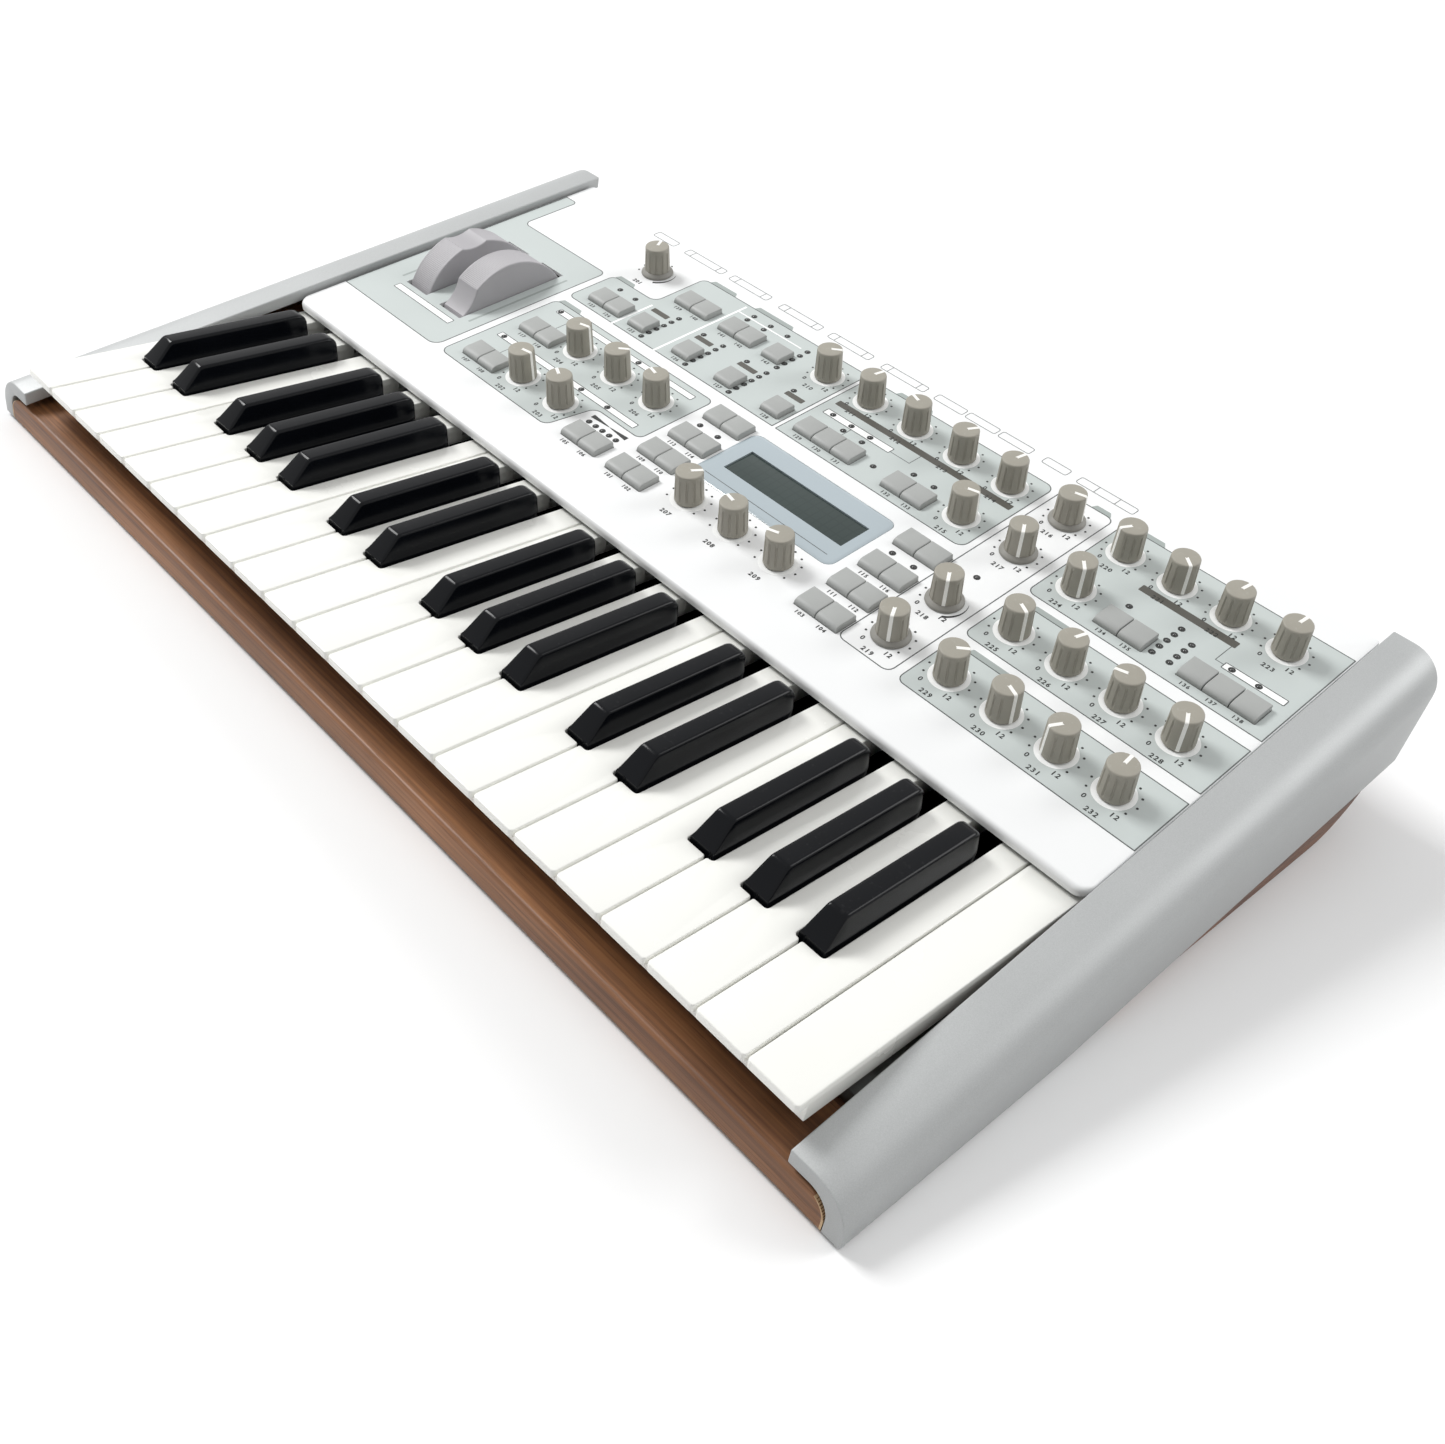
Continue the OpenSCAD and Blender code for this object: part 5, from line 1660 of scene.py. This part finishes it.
@dataclass
class BenderWheel:
    """A pitch or modulation wheel: an arc of rim with fine cross ridges and a finger dent."""

    name: str
    u: float
    turn: float
    front_deg: float
    rear_deg: float
    slope: Slope
    v: float = 88.3
    axle_depth: float = 18.5
    radius: float = 36.3
    width: float = 17.0
    hub_r: float = 9.0
    bore_r: float = 3.2
    edge: float = 0.7
    hub_edge: float = 0.2
    dent_len: float = 15.5
    dent_depth: float = 2.3
    ridge: float = 0.15
    ridge_deg: float = 1.5
    ridge_steps: int = 5
    border: float = 1.4
    ramp: float = 0.2

    @property
    def dent_angle(self) -> float:
        """Angle from the dent's middle to its ends."""
        return math.asin(self.dent_len / 2 / self.radius)

    def rim(self, angle: Array) -> Array:
        """Gives the rim's radius at angles from the dent's middle.

        Inside the dent it is the distance to a circle c above the axle: c cos a minus the root of
        its radius squared less (c sin a) squared.

        Args:
            angle: The angles in radians.

        Returns:
            The radius at each angle.
        """
        chord = math.sqrt(self.radius ** 2 - self.dent_len ** 2 / 4)
        sag = chord - self.radius + self.dent_depth
        dent_r = (self.dent_len ** 2 / 4 + sag ** 2) / (2 * sag)
        c = self.radius - self.dent_depth + dent_r
        inside = np.abs(angle) < self.dent_angle
        dip = c * np.cos(angle) - np.sqrt(np.maximum(dent_r ** 2 - (c * np.sin(angle)) ** 2, 0))
        return np.where(inside, dip, self.radius)

    def waves(self, angle: Array) -> Array:
        """Gives the depth of the cross ridges at angles from the dent's middle: none inside the dent."""
        outside = np.abs(angle) > self.dent_angle
        return outside * self.ridge * (0.5 - 0.5 * np.cos(angle * 2 * np.pi / math.radians(self.ridge_deg)))

    def build(self) -> None:
        """Carries the rim's section round the axle, from the front end of the arc to the rear end.

        The section is a rectangle with round corners. Its top edge, which comes after the arcs of three
        corners, gets the four points where the ridges begin and end across the rim.
        """
        steps = int((self.front_deg + self.rear_deg) / self.ridge_deg * self.ridge_steps)
        dent = math.degrees(self.dent_angle)
        degrees = np.sort([*np.linspace(-self.front_deg, self.rear_deg, steps), -dent, dent])
        angle = np.radians(degrees)
        half, arc = self.width / 2, 5
        x, r = rounded([(-half, self.hub_r), (half, self.hub_r), (half, self.radius), (-half, self.radius)],
                       [self.hub_edge, self.hub_edge, self.edge, self.edge], arc).T
        band = half - self.border
        top = 3 * (arc + 1)
        x = np.insert(x, top, [band + self.ramp, band, -band, -band - self.ramp])
        r = np.insert(r, top, [self.radius] * 4)
        outward = r > (self.radius + self.hub_r) / 2
        dip = self.waves(angle)[:, None] * (outward & (np.abs(x) <= band))
        radius = np.where(outward, self.rim(angle)[:, None] + r - self.radius, r) - dip
        way = angle[:, None] - math.radians(self.turn)
        rings = np.stack([np.broadcast_to(self.u + x, radius.shape), self.v + radius * np.sin(way),
                          radius * np.cos(way) - self.axle_depth], -1)
        skin = Surface()
        skin.loft(self.slope.place(rings))
        tube = [(self.bore_r, -half), (self.bore_r, half), (self.hub_r, half), (self.hub_r, -half)]
        hub = np.roll(revolved(tube, 40), 1, -1) + (self.u, self.v, -self.axle_depth)
        skin.hoop(self.slope.place(hub))
        skin.piece(self.name + "_rim", self.name, [WHEEL_GREY], "wheel_plastic", [self.name], sharp=25.0)


# Keyboard

@dataclass
class Keyboard:
    """The keys: 22 white ones with thin front lips and round corners, and 15 tapered black ones."""

    pitch: float = 23.5
    gap: float = 1.0
    plate: float = 3.5
    depth: float = 12.5
    plate_len: float = 150.0
    corner: float = 1.6
    edge: float = 0.55
    lip: float = 6.0
    rib_inset: float = 0.5
    bar_r: float = 0.4
    arm: tuple[float, float, float] = (9.0, 8.5, 4.0)
    arm_lap: float = 12.0
    shoulder: float = 1.0
    shoulder_r: Pair = (1.0, 1.4)
    rear_r: float = 0.7
    body_back: float = 2.0
    body_seam: float = 0.05
    black_w: float = 12.0
    black_top_w: float = 8.6
    black_h: float = 11.5
    black_start: float = 49.8
    black_len: float = 83.0
    black_slope: float = 9.7
    black_lip: float = 1.3
    black_root: float = 6.0
    black_nose: float = 0.5
    black_ease: float = 1.0
    black_rear: float = 5.5
    black_fall: float = 4.2
    black_tuck: float = 1.5
    black_r: Pair = (0.3, 1.5)
    black_r_share: Pair = (0.2, 0.7)
    black_foot_r: float = 0.2
    black_bend: Pair = (3.0, 8.0)
    block_w: float = 9.0
    block_lap: float = 1.0
    block_past: float = 2.0
    block_z: Pair = (22.0, 30.5)
    notch: float = 0.9
    octave: int = 7
    octaves: int = 3

    SHIFT = (-2.3, 2.3, None, -3.7, 0.0, 3.7, None)
    REGISTERS = ("low", "middle", "high")

    def __post_init__(self) -> None:
        """Takes the keys' front edge, top and pivot from the frame."""
        low, high = span("white_keys_low")
        self.front, self.top, self.left = low[1], high[2], low[0] - self.gap / 2
        self.pivot = np.array(joint("white_keys_low_press")["pos_m"]) / MM
        self.count = self.octave * self.octaves + 1

    def shift(self, i: int) -> float | None:
        """Gives how far the black key after white key i is off the gap, or None where there is none."""
        return None if i < 0 or i >= self.count - 1 else self.SHIFT[i % self.octave]

    def waist(self, i: int) -> Pair:
        """Gives the left and right side of a white key where it passes between the black keys.

        Args:
            i: The white key, from the left.

        Returns:
            The two sides, across the case.
        """
        half = self.black_w / 2 + self.notch
        before, after = self.shift(i - 1), self.shift(i)
        left = self.gap / 2 if before is None else max(self.gap / 2, half + before)
        right = self.gap / 2 if after is None else max(self.gap / 2, half - after)
        start = self.left + i * self.pitch
        return start + left, start + self.pitch - right

    def white_outline(self, i: int) -> Array:
        """Gives a white key's plan: full width in front, drawn in beside its black neighbours.

        Args:
            i: The white key, from the left.

        Returns:
            The plan's outline, (points, 2).
        """
        start = self.left + i * self.pitch
        left, right = start + self.gap / 2, start + self.pitch - self.gap / 2
        inner_left, inner_right = self.waist(i)
        shoulder, end, least = self.black_start - self.shoulder, self.plate_len, 0.1
        outer_r, inner_r = self.shoulder_r
        corners = [(left, 0.0, self.corner), (right, 0.0, self.corner)]
        if inner_right < right - least:
            corners += [(right, shoulder, outer_r), (inner_right, shoulder, inner_r)]
        corners += [(inner_right, end, self.rear_r), (inner_left, end, self.rear_r)]
        if inner_left > left + least:
            corners += [(inner_left, shoulder, inner_r), (left, shoulder, outer_r)]
        table = np.array(corners)
        return rounded(table[:, :2], table[:, 2], 6) + (0.0, self.front)

    def bar(self, skin: Surface, x: Sequence[float], y: Sequence[float], z: Sequence[float]) -> None:
        """Adds a plain bar with slightly round upright edges."""
        skin.prism(box_outline(x, (self.front + y[0], self.front + y[1]), self.bar_r), *z, as_drawn)

    def add_arm(self, skin: Surface, middle: float, start: float) -> None:
        """Adds the arm that runs from a key to its pivot rod.

        Args:
            skin: The piece that it goes into.
            middle: The arm's middle across the case.
            start: Its front end, behind the keys' front edge.
        """
        width, height, below = self.arm
        length = self.pivot[1] - self.front + height / 2
        self.bar(skin, (middle - width / 2, middle + width / 2), (start, length),
                 (self.pivot[2] - below, self.pivot[2] - below + height))

    def add_white(self, skin: Surface, i: int) -> None:
        """Adds a white key: a plate with a soft top edge, its body, wide in front, and its arm.

        Args:
            skin: The piece that it goes into.
            i: The white key, from the left.
        """
        skin.soft_prism(self.white_outline(i), self.top - self.plate, self.top, self.edge, as_drawn)
        left, right = self.waist(i)
        start, side = self.left + i * self.pitch, self.gap / 2 + self.rib_inset
        body, back = (self.top - self.depth, self.top - self.plate), self.black_start - self.body_back
        self.bar(skin, (start + side, start + self.pitch - side), (self.lip, back), body)
        self.bar(skin, (left + self.rib_inset, right - self.rib_inset),
                 (back + self.body_seam, self.plate_len), body)
        self.add_arm(skin, (left + right) / 2, self.plate_len - self.arm_lap)

    def black_rings(self) -> Array:
        """Gives a black key as sections along its length, with its front at 0 and white-key level at 0.

        The top line is the lower of a straight front slope and the level top, eased where they meet,
        and falls in a quarter ellipse at the rear, where the plan is round too. Each section narrows
        upwards at a steady rate and has round upper corners.

        Returns:
            The sections from the front to the rear, (sections, points, 3).
        """
        nose, ease, rear = self.black_nose, self.black_ease, self.black_rear
        bend_end, level_start = self.black_slope + np.array(self.black_bend)
        y = np.concatenate([np.linspace(0, bend_end, 22),
                            np.linspace(level_start, self.black_len - rear, 8),
                            self.black_len - rear + rear * np.sin(np.linspace(0.2, np.pi / 2, 7))])
        slope = self.black_lip + nose + y * (self.black_h - self.black_lip - nose) / self.black_slope
        blend = np.clip(0.5 + 0.5 * (self.black_h - slope) / ease, 0, 1)
        top = self.black_h * (1 - blend) + slope * blend - ease * blend * (1 - blend)
        past = np.clip((y - self.black_len + rear) / rear, 0, 1)
        sunk = 1 - np.sqrt(1 - past ** 2)
        lean = (self.black_w - self.black_top_w) / 2 / (self.black_h - self.black_lip)
        rings = []
        for station, crown, share in zip(y, top - self.black_fall * sunk, sunk):
            rise = crown - self.black_lip
            foot = self.black_w / 2 - self.black_tuck * share
            half = foot - rise * lean
            corners = [(-foot, -self.black_root), (foot, -self.black_root), (foot, self.black_lip),
                       (half, crown), (-half, crown), (-foot, self.black_lip)]
            small, large = np.minimum(self.black_r, rise * np.array(self.black_r_share))
            foot_r = self.black_foot_r
            x, z = rounded(corners, [foot_r, foot_r, small, large, large, small], 5).T
            rings.append(np.stack([x, np.full_like(x, station), z], -1))
        return np.stack(rings)

    def add_black(self, skin: Surface, i: int, rings: Array) -> None:
        """Adds the black key after a white key, the lower block behind it and its arm.

        Args:
            skin: The piece that it goes into.
            i: The white key, from the left.
            rings: A black key's sections.
        """
        middle = self.left + (i + 1) * self.pitch + self.shift(i)
        skin.loft(rings + (middle, self.front + self.black_start, self.top))
        end, half = self.black_start + self.black_len, self.block_w / 2
        self.bar(skin, (middle - half, middle + half),
                 (end - self.block_lap, self.plate_len + self.block_past), self.block_z)
        self.add_arm(skin, middle, self.plate_len - self.arm_lap)

    def build(self) -> None:
        """Builds the white and the black keys of each octave on their own bodies."""
        rings = self.black_rings()
        for order, register in enumerate(self.REGISTERS):
            keys = list(range(order * self.octave, (order + 1) * self.octave))
            whites = keys + [self.count - 1] if order == self.octaves - 1 else keys
            white, black = Surface(), Surface()
            for i in whites:
                self.add_white(white, i)
            for i in keys:
                if self.shift(i) is not None:
                    self.add_black(black, i, rings)
            low, high = f"white_keys_{register}", f"black_keys_{register}"
            white.piece(low + "_set", low, [IVORY], "ivory", [low])
            black.piece(high + "_set", high, [EBONY], "ebony", [high])


# Rear

@dataclass
class RearFittings:
    """Bright metal on the rear sockets: washers and nuts, sleeves, shields, a shell and contact pins."""

    bright: Surface = field(default_factory=Surface)
    bevel: float = 0.3
    jack_r: float = 3.3
    washer_r: float = 7.4
    washer_z: Pair = (0.1, 0.6)
    nut_flat: float = 5.7
    nut_z: Pair = (0.6, 2.45)
    sleeve_r: Pair = (4.3, 3.3)
    sleeve_z: Pair = (0.2, 6.08)
    shield_r: Pair = (6.75, 6.3)
    shield_z: Pair = (-3.0, 2.35)
    contact_at: float = 4.2
    contact_r: Pair = (0.95, 0.5)
    contact_z: Pair = (-5.5, -4.9)
    shell_half: Pair = (4.2, 3.85)
    shell_wall: float = 0.4
    shell_r: float = 0.6
    shell_z: Pair = (-8.0, 1.2)
    pin_half: Pair = (1.06, 2.06)
    pin_z: Pair = (-15.0, -5.9)
    pin_edge: float = 0.5

    JACKS = (-232, -198, -176, -146, -124, -102, -80, -58, -36, -6, 18)
    COAX = (46, 64)
    DINS = (90, 114, 138)
    USB = 164
    INLET = 227
    PINS = ((-7, 2), (0, -2), (7, 2))

    def __post_init__(self) -> None:
        """Takes the rear plate's face and the sockets' height from the frame."""
        self.face = span("rear_panel")[1][1]
        self.level = joint("power_switch_rock")["pos_m"][2] / MM

    def at(self, across: float) -> Place:
        """Gives the frame of a socket: x runs across the case, y down and z out of the plate.

        Args:
            across: The socket's middle across the case.

        Returns:
            A function that puts the socket's points into the case.
        """
        def place(points: Array) -> Array:
            """Puts a socket's points into the case."""
            x, y, z = np.moveaxis(np.asarray(points, float), -1, 0)
            return np.stack([across + x, self.face + z, self.level - y], -1)
        return place

    def ring(self, outer: Array, inner: Array, heights: Sequence[float], place: Place) -> None:
        """Adds a ring between two outlines, with a small bevel at its outer top edge.

        Args:
            outer: The outer outline.
            inner: The inner outline, with as many points.
            heights: The ring's foot and top.
            place: Where the outlines' frame is.
        """
        low, high = heights
        rows = [at_height(inner, low), at_height(outer, low), at_height(outer, high - self.bevel),
                at_height(inset(outer, self.bevel), high), at_height(inner, high)]
        self.bright.hoop(place(np.stack(rows)))

    def tube(self, radii: Sequence[float], heights: Sequence[float], place: Place,
             centre: Sequence[float] = (0.0, 0.0), count: int = 32) -> None:
        """Adds a round ring with an outer and an inner radius."""
        self.ring(*(circle(centre, radius, count) for radius in radii), heights, place)

    def add_jack(self, place: Place) -> None:
        """Adds a washer and a hexagonal nut.

        At an angle a from the middle of a flat, the nut's side is the flat's distance / cos a away.

        Args:
            place: Where the socket is.
        """
        count, sixth = 48, np.pi / 3
        angle = full_turn(count)
        reach = self.nut_flat / np.cos(angle % sixth - sixth / 2)
        hexagon = reach[:, None] * np.stack([np.cos(angle), np.sin(angle)], -1)
        self.tube((self.washer_r, self.jack_r), self.washer_z, place, count=count)
        self.ring(hexagon, circle((0, 0), self.jack_r, count), self.nut_z, place)

    def add_din(self, place: Place) -> None:
        """Adds a shield inside the rim and contact sleeves on a half circle, five of eight steps round.

        Args:
            place: Where the socket is.
        """
        self.tube(self.shield_r, self.shield_z, place)
        for spot in circle((0, 0), self.contact_at, 8)[:5]:
            self.tube(self.contact_r, self.contact_z, place, spot, 16)

    def build(self) -> None:
        """Fits every socket."""
        for x in self.JACKS:
            self.add_jack(self.at(x))
        for x in self.COAX:
            self.tube(self.sleeve_r, self.sleeve_z, self.at(x))
        for x in self.DINS:
            self.add_din(self.at(x))
        outer = np.array(self.shell_half)
        shell, hollow = (box_at((0, 0), half, self.shell_r) for half in (outer, outer - self.shell_wall))
        self.ring(shell, hollow, self.shell_z, self.at(self.USB))
        for spot in self.PINS:
            pin = box_at(spot, self.pin_half, self.bevel)
            self.bright.soft_prism(pin, *self.pin_z, self.pin_edge, self.at(self.INLET))
        self.bright.piece("rear_metal", CASE, [STEEL], "screw_steel")


# Frame nodes and studio

FRAME_FINISHES = {
    "wood_base": WALNUT_BASE, "rear_panel": REAR_PLATE, "rubber_feet": RUBBER, "case_screws": STEEL,
    "keybed_frame": ZINC, "wheel_bracket": ZINC, "knob_potentiometers": STEEL,
    "key_contact_board": BOARD, "control_board": BOARD, "main_board": BOARD,
    "display_module": SOCKET_BLACK, "rear_sockets": SOCKET_BLACK, "power_switch": SOCKET_BLACK,
}


def dress_frame() -> None:
    """Gives each CAD node that stays in view its finish."""
    for name, finish in FRAME_FINISHES.items():
        node = frame["nodes"][name]
        if not node.material_slots:
            node.data.materials.append(None)
        for place in node.material_slots:
            place.material = finish.material()
        LOG.info("%s: dressed as %s", name, finish.name)


@dataclass
class Studio:
    """A pale floor, a bright sky for the background, soft lamps and the camera."""

    camera_at: tuple[float, float, float] = (0.396566, -0.409932, 0.396781)
    camera_turn: tuple[float, float, float] = (50.4672, -8.8818, 46.7893)
    focal_px: float = 1472.985
    image_px: float = 1445.0
    sensor: float = 36.0
    floor_half: float = 12.0
    floor_tone: Tone = (244, 244, 244)
    horizon: float = 0.29
    zenith: float = 0.85
    pool: Pair = (0.55, 0.95)
    aim: tuple[float, float, float] = (0.0, 0.0, 0.05)

    LAMPS = (("key_lamp", (-2.88, -0.75, 3.0), 1.5, 131.0), ("rim_lamp", (1.88, 3.0, 2.38), 2.0, 62.0))

    def floor(self) -> None:
        """Lays a large pale floor under the feet."""
        mesh = bpy.data.meshes.new("floor")
        s = self.floor_half
        mesh.from_pydata([(-s, -s, 0), (s, -s, 0), (s, s, 0), (-s, s, 0)], [], [(0, 1, 2, 3)])
        paper = Finish("floor_paper", self.floor_tone, rough=0.75, mottle=0.01, patch=400.0, relief=0.01)
        mesh.materials.append(paper.material())
        made = linked("floor", mesh)

    def world(self) -> None:
        """Makes the sky: white where it is seen or mirrored, and as light a soft pool over a dim horizon."""
        world = bpy.data.worlds.new("studio")
        bpy.context.scene.world = world
        world.use_nodes = True
        graph = Graph(world.node_tree)
        ray = graph.node("LightPath").outputs
        seen = graph.math("MAXIMUM", ray["Is Camera Ray"], ray["Is Transmission Ray"])
        seen = graph.math("MAXIMUM", seen, ray["Is Glossy Ray"])
        way = graph.node("TexCoord").outputs["Generated"]
        rise = graph.node("SeparateXYZ", {0: way}).outputs[2]
        pool = graph.spread(rise, self.pool, self.horizon, self.zenith)
        back = world.node_tree.nodes["Background"]
        back.inputs["Color"].default_value = (1.0, 1.0, 1.0, 1.0)
        world.node_tree.links.new(graph.math("MAXIMUM", seen, pool), back.inputs["Strength"])

    def lamp(self, name: str, at: Sequence[float], size: float, watts: float) -> None:
        """Hangs a square soft lamp that faces the middle of the object.

        Args:
            name: The lamp's name.
            at: Its place in metres.
            size: Length of its sides.
            watts: Its power.
        """
        data = bpy.data.lights.new(name, "AREA")
        data.size, data.energy = size, watts
        made = linked(name, data)
        made.location = at
        made.rotation_euler = (Vector(self.aim) - Vector(at)).to_track_quat("-Z", "Y").to_euler()

    def camera(self) -> None:
        """Sets the camera where the photograph was taken from."""
        data = bpy.data.cameras.new("camera")
        data.sensor_width = self.sensor
        data.lens = self.focal_px * self.sensor / self.image_px
        data.clip_start, data.clip_end = 0.01, 50.0
        made = linked("camera", data)
        made.location = self.camera_at
        made.rotation_euler = [math.radians(a) for a in self.camera_turn]
        bpy.context.scene.camera = made

    def build(self) -> None:
        """Builds the studio."""
        self.floor()
        self.world()
        for lamp in self.LAMPS:
            self.lamp(*lamp)
        self.camera()
        bpy.context.scene.view_settings.view_transform = "Standard"


def main() -> None:
    """Builds the sub-assemblies in order."""
    logging.basicConfig(level=logging.INFO, format="%(name)s: %(message)s")
    slope = Slope.from_frame()
    openings = Openings(slope)
    knobs = Knob.from_frame(slope)
    dress_frame()
    for side in Side:
        Cheek(side, slope).build()
    FrontRail().build()
    TopPanel(slope, openings).build()
    PanelPrint(slope, openings, knobs).build()
    Display(slope, openings).build()
    StatusLights(slope).build()
    for knob in knobs:
        knob.build()
    ButtonCaps(slope).build()
    BenderWheel("pitch_wheel", -229.4, 0.0, 97.6, 98.9, slope).build()
    BenderWheel("mod_wheel", -199.4, 47.7, 87.9, 108.6, slope).build()
    Keyboard().build()
    RearFittings().build()
    Studio().build()


if __name__ == "__main__":
    main()
